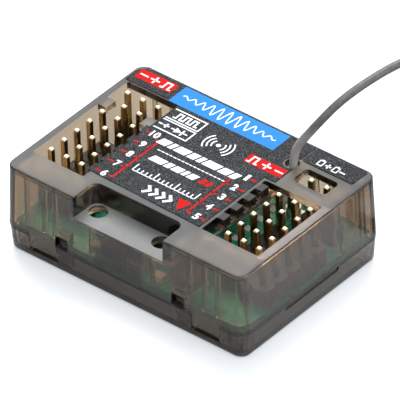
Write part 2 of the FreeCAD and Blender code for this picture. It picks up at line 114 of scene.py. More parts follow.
def mm(x: float, y: float, z: float) -> Vector:
    """A point given in millimetres, in metres."""
    return Vector((x, y, z)) * MM


class Wiring:
    """Adds nodes to one tree and links them."""

    def __init__(self, tree: bpy.types.NodeTree) -> None:
        """Take up the tree that grows."""
        self.tree = tree

    def feed(self, socket: Socket, value: object) -> None:
        """Link a socket to an output, or set it to a constant.

        Args:
            socket: The input that is fed.
            value: An output socket or a constant.
        """
        if isinstance(value, Socket):
            self.tree.links.new(value, socket)
        else:
            socket.default_value = value

    def node(self, kind: str, **inputs: object) -> bpy.types.Node:
        """Add a node and feed its inputs.

        Args:
            kind: Node type without its ShaderNode prefix.
            inputs: Constants or output sockets, by input name in lower case with underscores.

        Returns:
            The new node.
        """
        made = self.tree.nodes.new("ShaderNode" + kind)
        for name, value in inputs.items():
            self.feed(made.inputs[name.replace("_", " ").title()], value)
        return made

    def joined(self, operation: str, one: object, two: object) -> Socket:
        """Two numbers joined by one operation of arithmetic.

        Args:
            operation: Name of the operation.
            one: First number or socket.
            two: Second number or socket.

        Returns:
            The result.
        """
        made = self.node("Math")
        made.operation = operation
        self.feed(made.inputs[0], one)
        self.feed(made.inputs[1], two)
        return made.outputs[0]

    def ranged(self, value: Socket, source: Place = (0.0, 1.0), result: Place = (0.0, 1.0)) -> Socket:
        """A value mapped from one range to another and held at both ends.

        Args:
            value: The value.
            source: Both ends of its own range.
            result: What the two ends become.

        Returns:
            The mapped value.
        """
        made = self.node("MapRange", value=value, from_min=source[0], from_max=source[1],
                         to_min=result[0], to_max=result[1])
        return made.outputs["Result"]


class Recipe(Wiring):
    """Node tree of one material, which ends in a single Principled shader."""

    def __init__(self, name: str) -> None:
        """Start a material.

        Args:
            name: Name of the material.
        """
        self.material = bpy.data.materials.new(name)
        self.material.use_nodes = True
        super().__init__(self.material.node_tree)
        self.shader = self.tree.nodes["Principled BSDF"]
        self.coords = self.node("TexCoord").outputs["Object"]

    def put(self, **values: object) -> None:
        """Feed sockets of the shader, named in lower case with underscores."""
        for name, value in values.items():
            self.feed(self.shader.inputs[name.replace("_", " ").title().replace("Ior", "IOR")], value)

    def noise(self, grain_mm: float, detail: float = 3.0, roughness: float = 0.55,
              stretch: Point = (1, 1, 1)) -> Socket:
        """Noise whose largest features have about the given size.

        Args:
            grain_mm: Size of the features in millimetres.
            detail: Octaves.
            roughness: Weight of the finer octaves.
            stretch: Factor on the coordinates along each axis.

        Returns:
            The noise factor.
        """
        mapped = self.node("Mapping", vector=self.coords, scale=stretch)
        made = self.node("TexNoise", vector=mapped.outputs["Vector"], scale=1 / (grain_mm * MM),
                         detail=detail, roughness=roughness)
        return made.outputs["Fac"]

    def ramp(self, factor: Socket, stops: Place, low: Colour, high: Colour) -> Socket:
        """A colour that runs from one tone to another.

        Args:
            factor: What it follows.
            stops: Factors at which the run starts and ends.
            low: Tone up to the first stop.
            high: Tone from the second stop on.

        Returns:
            The colour.
        """
        made = self.node("ValToRGB", fac=factor)
        for element, place, colour in zip(made.color_ramp.elements, stops, (low, high)):
            element.position = place
            element.color = colour
        return made.outputs["Color"]

    def grey(self, noise: Socket, low: float, high: float) -> Socket:
        """The middle of a noise spread from low to high."""
        return self.ranged(noise, NOISE_MIDDLE, (low, high))

    def mixed(self, factor: Socket, one: object, two: object) -> Socket:
        """Two colours mixed.

        Args:
            factor: Share of the second colour.
            one: First colour or socket.
            two: Second colour or socket.

        Returns:
            The mixed colour.
        """
        made = self.node("Mix")
        made.data_type = "RGBA"
        self.feed(made.inputs["Factor"], factor)
        for name, value in (("A", one), ("B", two)):
            self.feed(next(s for s in made.inputs if s.name == name and s.type == "RGBA"), value)
        return next(s for s in made.outputs if s.type == "RGBA")

    def within(self, low: Point, high: Point, soft_mm: float = 0.08) -> Socket:
        """Whether a place is in a box: 1 inside, falling to 0 over its soft edge.

        Args:
            low: Lowest corner in millimetres.
            high: Highest corner in millimetres.
            soft_mm: Width of the soft edge.

        Returns:
            The factor.
        """
        middle = [(a + b) / 2 * MM for a, b in zip(low, high)]
        half = [(b - a) / 2 * MM for a, b in zip(low, high)]
        offset = self.coords
        for operation, by in (("SUBTRACT", middle), ("ABSOLUTE", None), ("SUBTRACT", half)):
            made = self.node("VectorMath")
            made.operation = operation
            self.feed(made.inputs[0], offset)
            if by:
                self.feed(made.inputs[1], by)
            offset = made.outputs["Vector"]
        x, y, z = self.node("SeparateXYZ", vector=offset).outputs
        outside = self.joined("MAXIMUM", self.joined("MAXIMUM", x, y), z)
        return self.ranged(outside, (0.0, -soft_mm * MM))

    def facing(self, low: float, high: float) -> Socket:
        """How much a face looks up: 0 below the low cosine of its lean and 1 above the high one."""
        normal = self.node("NewGeometry").outputs["Normal"]
        return self.ranged(self.node("SeparateXYZ", vector=normal).outputs["Z"], (low, high))

    def deep(self, tint: Colour, density: float) -> None:
        """Darken light on its way through the body: what the tint lets through, and how strongly."""
        body = self.node("VolumeAbsorption", color=tint, density=density)
        self.feed(self.tree.nodes["Material Output"].inputs["Volume"], body.outputs["Volume"])

    def relief(self, height: Socket, depth_mm: float, strength: object = 1.0) -> None:
        """Bump the surface by a height."""
        bump = self.node("Bump", height=height, distance=depth_mm * MM, strength=strength)
        self.put(normal=bump.outputs["Normal"])


@dataclass(frozen=True)
class Finish:
    """Base of every finish. A finish is made into a material once."""

    name: str

    def build(self, recipe: Recipe) -> None:
        """Fill the recipe. Each finish has its own."""
        raise NotImplementedError

    def material(self) -> bpy.types.Material:
        """Make the finish into a material at its first use.

        Returns:
            The material.
        """
        found = bpy.data.materials.get(self.name)
        if found is None:
            recipe = Recipe(self.name)
            self.build(recipe)
            found = recipe.material
        return found


@dataclass(frozen=True)
class Tinge:
    """A place of the plastic with a tone and polish of its own: its tone is painted shade or painted light
    where it differs from the walls. Corners in millimetres.
    """

    low: Point
    high: Point
    tone: Colour
    polish_shift: float = 0.0


@dataclass(frozen=True)
class SmokePlastic(Finish):
    """Smoke-tinted clear plastic. It darkens with the thickness that light crosses.

    Its faces that look up are satin from the mould, and its walls are polished. In boxes, painted
    shade darkens its tone and painted light warms it, and some boxes make it duller or glossier.
    """

    tint: Colour
    density: float = 1500.0
    clarity: float = 0.985
    refraction: float = 1.49
    polish: float = 0.09
    satin: float = 0.55
    looks_up: Place = (0.4, 0.85)
    wall_tone: Colour = shade(252, 251, 250)
    top_tone: Colour = shade(240, 239, 238)
    flow_mm: float = 1.6
    flow_swing: Place = (-0.03, 0.05)
    grain_mm: float = 0.14
    grain_octaves: float = 2.0
    grain_depth_mm: float = 0.01
    grain_strength: float = 0.35
    tinges: tuple[Tinge, ...] = ()

    def build(self, recipe: Recipe) -> None:
        """Clear body with a tint in its depth, a roughness that follows the way a face looks, and painted
        shade and painted light in boxes.

        Args:
            recipe: The recipe to fill.
        """
        recipe.put(transmission_weight=self.clarity, ior=self.refraction)
        recipe.deep(self.tint, self.density)
        up = recipe.facing(*self.looks_up)
        flow = recipe.grey(recipe.noise(self.flow_mm), *self.flow_swing)
        rough = recipe.joined("ADD", recipe.ranged(up, result=(self.polish, self.satin)), flow)
        tone = recipe.mixed(up, self.wall_tone, self.top_tone)
        # Painted shade and painted light: each box mixes in its own tone, and may shift the roughness
        for region in self.tinges:
            inside = recipe.within(region.low, region.high)
            tone = recipe.mixed(inside, tone, region.tone)
            if region.polish_shift:
                shift = recipe.ranged(inside, result=(0.0, region.polish_shift))
                rough = recipe.joined("ADD", rough, shift)
        recipe.put(base_color=tone, roughness=rough)
        strength = recipe.ranged(up, result=(0.0, self.grain_strength))
        recipe.relief(recipe.noise(self.grain_mm, self.grain_octaves), self.grain_depth_mm, strength)


@dataclass(frozen=True)
class Moulded(Finish):
    """Opaque moulded or painted part with a little grain."""

    tone: Colour
    roughness: float = 0.5
    spread: float = 0.15
    grain_mm: float = 0.3
    dull_spots: float = 3.0
    dull_swing: float = 0.08
    relief_mm: float = 0.01
    relief_strength: float = 0.5

    def build(self, recipe: Recipe) -> None:
        """Slightly uneven tone, roughness and relief.

        Args:
            recipe: The recipe to fill.
        """
        grain = recipe.noise(self.grain_mm)
        tones = scaled(self.tone, 1 - self.spread), scaled(self.tone, 1 + self.spread)
        spots = recipe.noise(self.grain_mm * self.dull_spots)
        recipe.put(base_color=recipe.ramp(grain, NOISE_MIDDLE, *tones),
                   roughness=recipe.grey(spots, self.roughness - self.dull_swing,
                                         self.roughness + self.dull_swing))
        recipe.relief(grain, self.relief_mm, self.relief_strength)


@dataclass(frozen=True)
class Plated(Finish):
    """Bare or plated metal with drawing marks along Z."""

    tone: Colour
    roughness: float = 0.25
    stain: float = 0.72
    stain_stops: Place = (0.34, 0.56)
    dull_shift: Place = (0.1, -0.05)
    mark_mm: float = 0.25
    mark_stretch: Point = (1, 1, 0.08)
    relief_mm: float = 0.01
    relief_strength: float = 0.4

    def build(self, recipe: Recipe) -> None:
        """Metal with faint marks along its length and a few stains.

        Args:
            recipe: The recipe to fill.
        """
        marks = recipe.noise(self.mark_mm, roughness=0.6, stretch=self.mark_stretch)
        tone = recipe.ramp(marks, self.stain_stops, scaled(self.tone, self.stain), self.tone)
        rough = recipe.grey(marks, *(self.roughness + shift for shift in self.dull_shift))
        recipe.put(metallic=1.0, base_color=tone, roughness=rough)
        recipe.relief(marks, self.relief_mm, self.relief_strength)


@dataclass(frozen=True)
class ContactPlating(Finish):
    """Gold over the contact posts: a painted highlight makes the bevelled tips bright, and painted shade
    darkens the sides, most in the wear marks.
    """

    # Tip colour: a painted highlight. Side colour: painted shade. The darkest colour: painted shade in the
    # wear marks
    tip: Colour
    side: Colour
    worn: Colour
    worn_stops: Place = (0.36, 0.6)
    tip_from_mm: float = 12.72
    tip_to_mm: float = 12.95
    roughness: Place = (0.3, 0.18)
    tip_dulling: float = 0.12
    mark_mm: float = 0.3
    mark_stretch: Point = (1, 1, 0.06)
    relief_mm: float = 0.01
    relief_strength: float = 0.4

    def build(self, recipe: Recipe) -> None:
        """Draw marks along Z that are left by plugs, over painted shade on the sides, and a tip bright with
        a painted highlight.

        Args:
            recipe: The recipe to fill.
        """
        marks = recipe.noise(self.mark_mm, roughness=0.6, stretch=self.mark_stretch)
        # Painted shade along the sides, darker in the wear marks
        shaded_shaft = recipe.ramp(marks, self.worn_stops, self.worn, self.side)
        # Painted highlight: from this height up the post takes the bright tip colour
        height = recipe.node("SeparateXYZ", vector=recipe.coords).outputs["Z"]
        tip = recipe.ranged(height, (self.tip_from_mm * MM, self.tip_to_mm * MM))
        dulling = recipe.ranged(tip, result=(0.0, self.tip_dulling))
        recipe.put(metallic=1.0, base_color=recipe.mixed(tip, shaded_shaft, self.tip),
                   roughness=recipe.joined("ADD", recipe.grey(marks, *self.roughness), dulling))
        recipe.relief(marks, self.relief_mm, self.relief_strength)


@dataclass(frozen=True)
class PrintedFilm(Finish):
    """Dark printed film with the fine two-coloured speckle of its print."""

    ground: Colour
    speck: Colour
    tint: Colour
    speck_mm: float = 0.16
    speck_stops: Place = (0.5, 0.74)
    patch_mm: float = 0.5
    patch_cover: float = 0.55
    sheen: float = 0.06
    roughness: Place = (0.42, 0.55)
    cloud_mm: float = 0.4
    relief_grain_mm: float = 0.1
    relief_mm: float = 0.006
    relief_strength: float = 0.5

    def build(self, recipe: Recipe) -> None:
        """Speckle of two colours over the ground and a soft sheen.

        Args:
            recipe: The recipe to fill.
        """
        specks = recipe.noise(self.speck_mm, detail=2.0, roughness=0.7)
        fine = recipe.ramp(specks, self.speck_stops, self.ground, self.speck)
        patches = recipe.grey(recipe.noise(self.patch_mm, roughness=0.6), 0.0, self.patch_cover)
        recipe.put(specular_ior_level=self.sheen, base_color=recipe.mixed(patches, fine, self.tint),
                   roughness=recipe.grey(recipe.noise(self.cloud_mm), *self.roughness))
        recipe.relief(recipe.noise(self.relief_grain_mm, detail=1.0), self.relief_mm, self.relief_strength)


@dataclass(frozen=True)
class Veil(Finish):
    """Thin grainy haze over clear plastic."""

    tone: Colour
    cover: float
    darker: float = 0.6
    grain_mm: float = 0.14
    grain_stops: Place = (0.35, 0.6)
    roughness: float = 0.7

    def build(self, recipe: Recipe) -> None:
        """Pale, rough and mostly clear.

        Args:
            recipe: The recipe to fill.
        """
        grain = recipe.noise(self.grain_mm, detail=2.0)
        tone = recipe.ramp(grain, self.grain_stops, scaled(self.tone, self.darker), self.tone)
        recipe.put(alpha=self.cover, roughness=self.roughness, base_color=tone)


@dataclass(frozen=True)
class SolderMask(Finish):
    """Green lacquer of the board."""

    tone: Colour
    shaded: Colour
    light: Colour
    cloud_mm: float = 3.0
    cloud_stops: Place = (0.35, 0.65)
    weave_mm: float = 0.4
    weave_stretch: Point = (1, 0.3, 1)
    weave_share: float = 0.25
    roughness: Place = (0.2, 0.34)
    dull_spot_mm: float = 0.6
    relief_mm: float = 0.01
    relief_strength: float = 0.5

    def build(self, recipe: Recipe) -> None:
        """Cloudy lacquer over laminate, with a faint cross weave.

        Args:
            recipe: The recipe to fill.
        """
        cloud = recipe.ramp(recipe.noise(self.cloud_mm), self.cloud_stops, self.tone, self.shaded)
        weave = recipe.noise(self.weave_mm, detail=1.0, roughness=0.5, stretch=self.weave_stretch)
        recipe.put(base_color=recipe.mixed(recipe.grey(weave, 0.0, self.weave_share), cloud, self.light),
                   roughness=recipe.grey(recipe.noise(self.dull_spot_mm), *self.roughness))
        recipe.relief(weave, self.relief_mm, self.relief_strength)


@dataclass(frozen=True)
class Jacket(Finish):
    """Satin jacket of the aerial lead, a little scuffed, and paler at its foot."""

    tone: Colour
    scuff: Colour
    foot: Colour
    foot_low: Point = (6.0, 5.5, 8.0)
    foot_high: Point = (13.0, 12.5, 19.5)
    foot_fade_mm: float = 3.0
    mottle_mm: float = 0.8
    mottle_stops: Place = (0.35, 0.7)
    roughness: Place = (0.42, 0.6)
    dull_spot_mm: float = 0.5
    relief_grain_mm: float = 0.3
    relief_mm: float = 0.01
    relief_strength: float = 0.4

    def build(self, recipe: Recipe) -> None:
        """Mottled grey with soft scuffs.

        Args:
            recipe: The recipe to fill.
        """
        mottle = recipe.noise(self.mottle_mm, detail=4.0, roughness=0.6)
        jacket = recipe.ramp(mottle, self.mottle_stops, self.tone, self.scuff)
        at_foot = recipe.within(self.foot_low, self.foot_high, self.foot_fade_mm)
        recipe.put(base_color=recipe.mixed(at_foot, jacket, self.foot),
                   roughness=recipe.grey(recipe.noise(self.dull_spot_mm), *self.roughness))
        recipe.relief(recipe.noise(self.relief_grain_mm), self.relief_mm, self.relief_strength)


@dataclass(frozen=True)
class Ink(Finish):
    """Screen-printed ink on the film."""

    tone: Colour
    sheen: float = 0.04
    mesh_mm: float = 0.12
    mesh_stops: Place = (0.3, 0.55)
    mesh_darker: float = 0.9
    roughness: Place = (0.55, 0.65)

    def build(self, recipe: Recipe) -> None:
        """Nearly even colour with the mesh of the print.

        Args:
            recipe: The recipe to fill.
        """
        mesh = recipe.noise(self.mesh_mm, detail=1.0)
        tone = recipe.ramp(mesh, self.mesh_stops, scaled(self.tone, self.mesh_darker), self.tone)
        recipe.put(specular_ior_level=self.sheen, base_color=tone,
                   roughness=recipe.grey(mesh, *self.roughness))


# Painted shade and painted light on the smoke plastic: places where its tone is darkened for shade or warmed
# for light, and where it is duller or glossier than elsewhere
# Tones of painted shade
SHADED = shade(84, 80, 76)
HOLLOW_SHADE = shade(36, 35, 34)
CATCH_X = (-10.15, 9.15)
PRY_SLOT_X = (-13.5, 13.4)
# Painted shade in the catch windows, which look black
CATCH_SHADES = tuple(Tinge((x - 1.1, -14.2, 4.05), (x + 1.1, -12.3, 5.95), HOLLOW_SHADE) for x in CATCH_X)
# Painted shade in the pry slots, which look black
PRY_SLOT_SHADES = tuple(Tinge((x - 2.25, -13.7, 0.9), (x + 2.25, -12.0, 1.88), HOLLOW_SHADE) for x in PRY_SLOT_X)
# Painted shade on the back wall of the recess
RECESS_BACK_SHADE = Tinge((-8.4, -9.6, 9.95), (6.95, -8.0, 13.08), shade(96, 92, 88))
# Painted shadow on the front wall under the recess shelf
UNDER_RECESS_SHADE = Tinge((-4.9, -14.2, 4.4), (3.0, -12.2, 9.8), shade(164, 168, 168))
# Painted shade along the top front edge, which shows as a dark line
FRONT_EDGE_SHADE = Tinge((-19.6, -13.95, 12.4), (19.6, -12.95, 13.17), shade(130, 130, 130))
# Painted shade on the notches of the right comb
RIGHT_COMB_SHADE = Tinge((7.6, -8.9, 11.2), (9.0, 4.3, 13.08), shade(80, 76, 72))
RIGHT_WELL_WALL = Tinge((7.6, -8.9, 4.6), (9.02, 4.3, 11.2), shade(252, 251, 250), -0.14)
# Painted shade on the keys of the right comb, which are also duller
RIGHT_KEY_SHADE = Tinge((8.95, -8.7, 11.4), (10.2, 4.1, 13.4), shade(150, 146, 142), 0.15)
# Painted shade on the back walls of the left well, the battery port and the right well
WELL_BACK_SHADES = (Tinge((-18.6, 9.85, 11.6), (-9.8, 11.2, 13.12), SHADED),
              Tinge((11.3, 9.2, 11.6), (17.0, 10.4, 13.12), SHADED),
              Tinge((8.9, 4.02, 12.1), (13.0, 5.3, 13.12), SHADED))
# Painted light: the rim beside the right well is warmer and glossier, as light comes up through the wall
RIGHT_RIM_LIGHT = Tinge((18.0, -9.1, 12.4), (19.7, 4.5, 13.4), shade(255, 222, 190), -0.2)

# The shell takes every box of painted shade and painted light; the cover takes those of the catches and pry
# slots
SMOKE_SHELL = SmokePlastic("smoke_shell", (0.65, 0.54, 0.39, 1.0), tinges=(
    *CATCH_SHADES, *PRY_SLOT_SHADES, RECESS_BACK_SHADE, UNDER_RECESS_SHADE, FRONT_EDGE_SHADE, RIGHT_COMB_SHADE, RIGHT_WELL_WALL, RIGHT_KEY_SHADE,
    *WELL_BACK_SHADES, RIGHT_RIM_LIGHT))
SMOKE_COVER = SmokePlastic("smoke_cover", (0.6, 0.53, 0.43, 1.0), tinges=(*CATCH_SHADES, *PRY_SLOT_SHADES))
SHELF_VEIL = Veil("shelf_veil", shade(236, 238, 240), 0.075)
BOARD_LACQUER = SolderMask("board_lacquer", shade(28, 150, 116), shade(14, 112, 86), shade(90, 186, 156))
TRACK_GREEN = Moulded("track_green", shade(84, 172, 128), 0.3, 0.1)
SILK_WHITE = Moulded("silk_white", shade(214, 226, 216), 0.5, 0.05)
HEADER_BLACK = Moulded("header_moulding", shade(24, 24, 26), 0.42)
# Gold with a painted highlight on the tips and painted shade on the sides
CONTACT_GOLD = ContactPlating("contact_gold", shade(255, 238, 200), shade(200, 164, 110), shade(100, 76, 48))
CAN_TIN = Plated("can_tin", shade(214, 212, 206), 0.3)
CHIP_BLACK = Moulded("chip_moulding", shade(38, 38, 40), 0.55, 0.2, 0.12)
SOLDER = Plated("solder", shade(206, 206, 202), 0.3)
TANTALUM = Moulded("tantalum_moulding", shade(112, 86, 44), 0.5)
CERAMIC = Moulded("ceramic_body", shade(176, 148, 116), 0.6)
LAMP_RESIN = Moulded("lamp_resin", shade(250, 234, 204), 0.3, 0.04)
SLEEVE_BLACK = Moulded("sleeve_tube", shade(34, 33, 33), 0.55)
LEAD_GREY = Jacket("lead_jacket", shade(58, 57, 56), shade(80, 78, 76), shade(150, 146, 142))
LABEL_FILM = PrintedFilm("label_film", shade(6, 6, 8), shade(112, 112, 116), shade(12, 22, 20))
INK_WHITE = Ink("ink_white", shade(214, 216, 220))
INK_RED = Ink("ink_red", shade(164, 18, 13))
INK_BLUE = Ink("ink_blue", shade(42, 110, 172))

SLOT_FINISH: dict[str, Finish] = {
    "smoke_case": SMOKE_SHELL,
    "board_green": BOARD_LACQUER,
    "header_black": HEADER_BLACK,
    "pin_gold": CONTACT_GOLD,
    "tin_can": CAN_TIN,
    "chip_black": CHIP_BLACK,
    "solder_tin": SOLDER,
    "tantalum_yellow": TANTALUM,
    "ceramic_tan": CERAMIC,
    "lamp_milky": LAMP_RESIN,
    "sleeve_black": SLEEVE_BLACK,
    "lead_grey": LEAD_GREY,
    "label_print": LABEL_FILM,
}


def dress(piece: bpy.types.Object, finish: Finish) -> None:
    """Give a piece one finish.

    Args:
        piece: Mesh or curve object.
        finish: The finish.
    """
    slots = piece.data.materials
    slots.clear()
    slots.append(finish.material())


def settle(piece: bpy.types.Object, finish: Finish) -> bpy.types.Object:
    """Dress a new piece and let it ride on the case.

    Args:
        piece: The new object.
        finish: Its finish.

    Returns:
        The piece.
    """
    dress(piece, finish)
    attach(piece, BODY)
    LOG.info("piece %s: %s", piece.name, finish.name)
    return piece


def placed(name: str, data: bpy.types.ID) -> bpy.types.Object:
    """Put data into the scene as an object.

    Args:
        name: Name of the object.
        data: Its mesh, curve, lamp or camera.

    Returns:
        The object.
    """
    made = bpy.data.objects.new(name, data)
    bpy.context.scene.collection.objects.link(made)
    return made


def meshed(name: str, mesh: bmesh.types.BMesh) -> bpy.types.Mesh:
    """Turn a bmesh into mesh data.

    Args:
        name: Name of the data.
        mesh: The bmesh, which is freed.

    Returns:
        The mesh data.
    """
    data = bpy.data.meshes.new(name)
    mesh.to_mesh(data)
    mesh.free()
    return data


def merged(frame: dict, node: str) -> bmesh.types.BMesh:
    """Copy the mesh of a node with its faces joined at their corners.

    Args:
        node: Name of the node.

    Returns:
        The copy.
    """
    mesh = bmesh.new()
    mesh.from_mesh(frame["nodes"][node].data)
    bmesh.ops.remove_doubles(mesh, verts=mesh.verts, dist=SOLID_WELD_M)
    return mesh


def shape(name: str, mesh: bmesh.types.BMesh, finish: Finish,
          smooth: bool = False) -> bpy.types.Object:
    """Turn a bmesh into a piece.

    Args:
        name: Name of the piece.
        mesh: The bmesh, which is freed.
        finish: Its finish.
        smooth: Whether its faces are shaded smooth.

    Returns:
        The piece.
    """
    bmesh.ops.remove_doubles(mesh, verts=mesh.verts, dist=NEW_WELD_M)
    bmesh.ops.recalc_face_normals(mesh, faces=mesh.faces)
    data = meshed(name, mesh)
    for polygon in data.polygons:
        polygon.use_smooth = smooth
    return settle(placed(name, data), finish)


def add_block(mesh: bmesh.types.BMesh, low: Vector, high: Vector, edge: float = 0.0) -> None:
    """Add a box between two corners, with its edges broken.

    Args:
        mesh: The bmesh that grows.
        low: Lowest corner in metres.
        high: Highest corner in metres.
        edge: Width of the bevel in metres.
    """
    size = high - low
    place = Matrix.Translation((low + high) / 2) @ Matrix.Diagonal((*size, 1.0))
    made = bmesh.ops.create_cube(mesh, size=1.0, matrix=place)
    if edge > 0:
        edges = {e for v in made["verts"] for e in v.link_edges}
        bmesh.ops.bevel(mesh, geom=list(edges), offset=edge, segments=2, profile=0.5,
                        affect="EDGES", material=-1)


def islands(frame: dict, node: str) -> list[tuple[Vector, Vector]]:
    """Boxes of the separate solids in one node.

    Args:
        node: Name of the node.

    Returns:
        Lowest and highest corner of each solid in metres, sorted by place.
    """
    mesh = merged(frame, node)
    waiting = set(mesh.verts)
    found = []
    while waiting:
        group = [waiting.pop()]
        for vert in group:
            for edge in vert.link_edges:
                other = edge.other_vert(vert)
                if other in waiting:
                    waiting.remove(other)
                    group.append(other)
        found.append((Vector(min(v.co[k] for v in group) for k in range(3)),
                      Vector(max(v.co[k] for v in group) for k in range(3))))
    mesh.free()
    return sorted(found, key=lambda box: tuple(round(v, 6) for v in box[0]))


@dataclass(frozen=True)
class CaseSkin:
    """One moulding of the case as a merged mesh, shaded smooth round its corners."""

    node: str
    name: str
    finish: Finish
    crease_degrees: float = 32.0
    flat_degrees: float = 0.2

    def build(self, frame: dict) -> bpy.types.Object:
        """Merge a copy of the solid and mark its creases.


        Returns:
            The piece that stands for the solid.
        """
        mesh = merged(frame, self.node)
        bmesh.ops.dissolve_limit(mesh, angle_limit=math.radians(self.flat_degrees), verts=mesh.verts,
                                 edges=mesh.edges)
        bmesh.ops.triangulate(mesh, faces=mesh.faces)
        for edge in mesh.edges:
            edge.smooth = edge.calc_face_angle(math.pi) < math.radians(self.crease_degrees)
        for face in mesh.faces:
            face.smooth = True
        piece = settle(placed(self.name, meshed(self.name, mesh)), self.finish)
        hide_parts(self.node)
        return piece


@dataclass(frozen=True)
class ShelfTexture:
    """Grain of the mould on the shelf of the recess, which veils what is under it.

    Lengths are in millimetres.
    """

    shelf_z: float = 10.0
    same_level: float = 0.01
    least_upright: float = 0.99
    lift: float = 0.01
    thickness: float = 0.01

    def build(self, frame: dict) -> bpy.types.Object:
        """Lay a thin veil over the faces of the shelf.


        Returns:
            The veil.
        """
        mesh = merged(frame, "upper_shell")
        level, reach = self.shelf_z * MM, self.same_level * MM
        spare = [face for face in mesh.faces
                 if face.normal.z < self.least_upright
                 or any(abs(vert.co.z - level) > reach for vert in face.verts)]
        bmesh.ops.delete(mesh, geom=spare, context="FACES")
        bmesh.ops.translate(mesh, verts=mesh.verts, vec=mm(0, 0, self.lift))
        bmesh.ops.solidify(mesh, geom=mesh.faces, thickness=-self.thickness * MM)
        return shape("recess_texture", mesh, SHELF_VEIL)


@dataclass
class Print:
    """One ink or metal layer in thin raised strokes. Points are millimetres on its ground."""

    name: str
    finish: Finish
    level_mm: float
    film_mm: float = 0.012
    slot: str = "label_print"
    mesh: bmesh.types.BMesh = field(default_factory=bmesh.new)
    sharpest_mitre: float = 0.4
    letter_steps: int = 3
    letter_weld: float = 1e-5

    def thicken(self, mesh: bmesh.types.BMesh, faces: Sequence[bmesh.types.BMFace]) -> None:
        """Raise flat faces into a slab as thick as the film.

        Args:
            mesh: The bmesh that holds them.
            faces: The faces.
        """
        made = bmesh.ops.extrude_face_region(mesh, geom=faces)
        raised = [v for v in made["geom"] if isinstance(v, bmesh.types.BMVert)]
        bmesh.ops.translate(mesh, verts=raised, vec=mm(0, 0, self.film_mm))

    def area(self, points: Iterable[Place]) -> None:
        """Print a filled outline whose corners are given in order."""
        rim = [self.mesh.verts.new(mm(x, y, self.level_mm)) for x, y in points]
        self.thicken(self.mesh, [self.mesh.faces.new(rim)])

    def panel(self, left: float, front: float, right: float, back: float) -> None:
        """Print a rectangle."""
        self.area(((left, front), (right, front), (right, back), (left, back)))

    def line(self, start: Place, end: Place, width: float) -> None:
        """Print a straight stroke, square past both ends by half its width.

        Args:
            start: Start of the stroke.
            end: End of the stroke.
            width: Its width.
        """
        along = Vector((end[0] - start[0], end[1] - start[1])).normalized() * (width / 2)
        side = Vector((-along.y, along.x))
        a, b = Vector(start) - along, Vector(end) + along
        self.area([tuple(p) for p in (a - side, b - side, b + side, a + side)])

    def path(self, points: Sequence[Place], width: float) -> None:
        """Print one mitred stroke through several points.

        Args:
            points: The points.
            width: Its width.
        """
        left, right = [], []
        for i, point in enumerate(points):
            here = Vector(point)
            before = Vector(points[max(i - 1, 0)])
            after = Vector(points[min(i + 1, len(points) - 1)])
            into = (here - before).normalized() if i else (after - here).normalized()
            out = (after - here).normalized() if i < len(points) - 1 else into
            normal = Vector((-(into + out).y, (into + out).x)).normalized()
            reach = width / 2 / max(normal.dot(Vector((-into.y, into.x))), self.sharpest_mitre)
            left.append(here + normal * reach)
            right.append(here - normal * reach)
        for i in range(len(points) - 1):
            self.area([tuple(p) for p in (right[i], right[i + 1], left[i + 1], left[i])])

    def ring(self, centre: Place, radius: float, width: float, ends: Place, steps: int = 14) -> None:
        """Print an arc.

        Args:
            centre: Its centre.
            radius: Its radius.
            width: Width of the stroke.
            ends: Angles in degrees at which it starts and ends.
            steps: How many straight runs it has.
        """
        first, last = ends
        turns = [math.radians(first + (last - first) * i / steps) for i in range(steps + 1)]
        x, y = centre
        self.path([(x + radius * math.cos(t), y + radius * math.sin(t)) for t in turns], width)

    def word(self, text: str, box: Block, weight: float) -> None:
        """Print characters that fill a box.

        Args:
            text: The characters.
            box: Left side, side towards the reader, right side and side away from the reader.
            weight: How far the strokes are thickened, as a share of the letter height.
        """
        left, front, right, back = box
        font = bpy.data.curves.new("letters", "FONT")
        font.body = text
        font.offset = weight
        font.resolution_u = self.letter_steps
        font.space_character = 1 + 2 * weight
        carrier = placed("letters", font)
        bpy.context.view_layer.update()
        flat = bpy.data.meshes.new_from_object(carrier.evaluated_get(bpy.context.evaluated_depsgraph_get()))
        letters = bmesh.new()
        letters.from_mesh(flat)
        bmesh.ops.remove_doubles(letters, verts=letters.verts, dist=self.letter_weld)
        xs = [v.co.x for v in letters.verts]
        ys = [v.co.y for v in letters.verts]
        grow = Vector(((right - left) / (max(xs) - min(xs)), (back - front) / (max(ys) - min(ys)), 1.0))
        bmesh.ops.translate(letters, verts=letters.verts, vec=(-min(xs), -min(ys), 0))
        bmesh.ops.scale(letters, verts=letters.verts, vec=grow * MM)
        bmesh.ops.translate(letters, verts=letters.verts, vec=mm(left, front, self.level_mm))
        self.thicken(letters, letters.faces[:])
        ready = meshed("letters", letters)
        self.mesh.from_mesh(ready)
        bpy.data.objects.remove(carrier)
        bpy.data.curves.remove(font)
        bpy.data.meshes.remove(flat)
        bpy.data.meshes.remove(ready)

    def finished(self) -> bpy.types.Object:
        """The ink as one piece."""
        return shape(self.name, self.mesh, self.finish)


@dataclass(frozen=True)
class SlantedRow:
    """A row of slanted bars. Lengths in millimetres, slope as a share of the height."""

    left: float
    front: float
    widths: tuple[float, ...]
    height: float
    gap: float
    slope: float = 0.35

    def draw(self, ink: Print) -> None:
        """Print the bars from left to right.

        Args:
            ink: The ink that takes them.
        """
        left, back = self.left, self.front + self.height
        lean = self.height * self.slope
        for width in self.widths:
            right = left + width
            ink.area(((left, self.front), (right, self.front), (right + lean, back), (left + lean, back)))
            left = right + self.gap


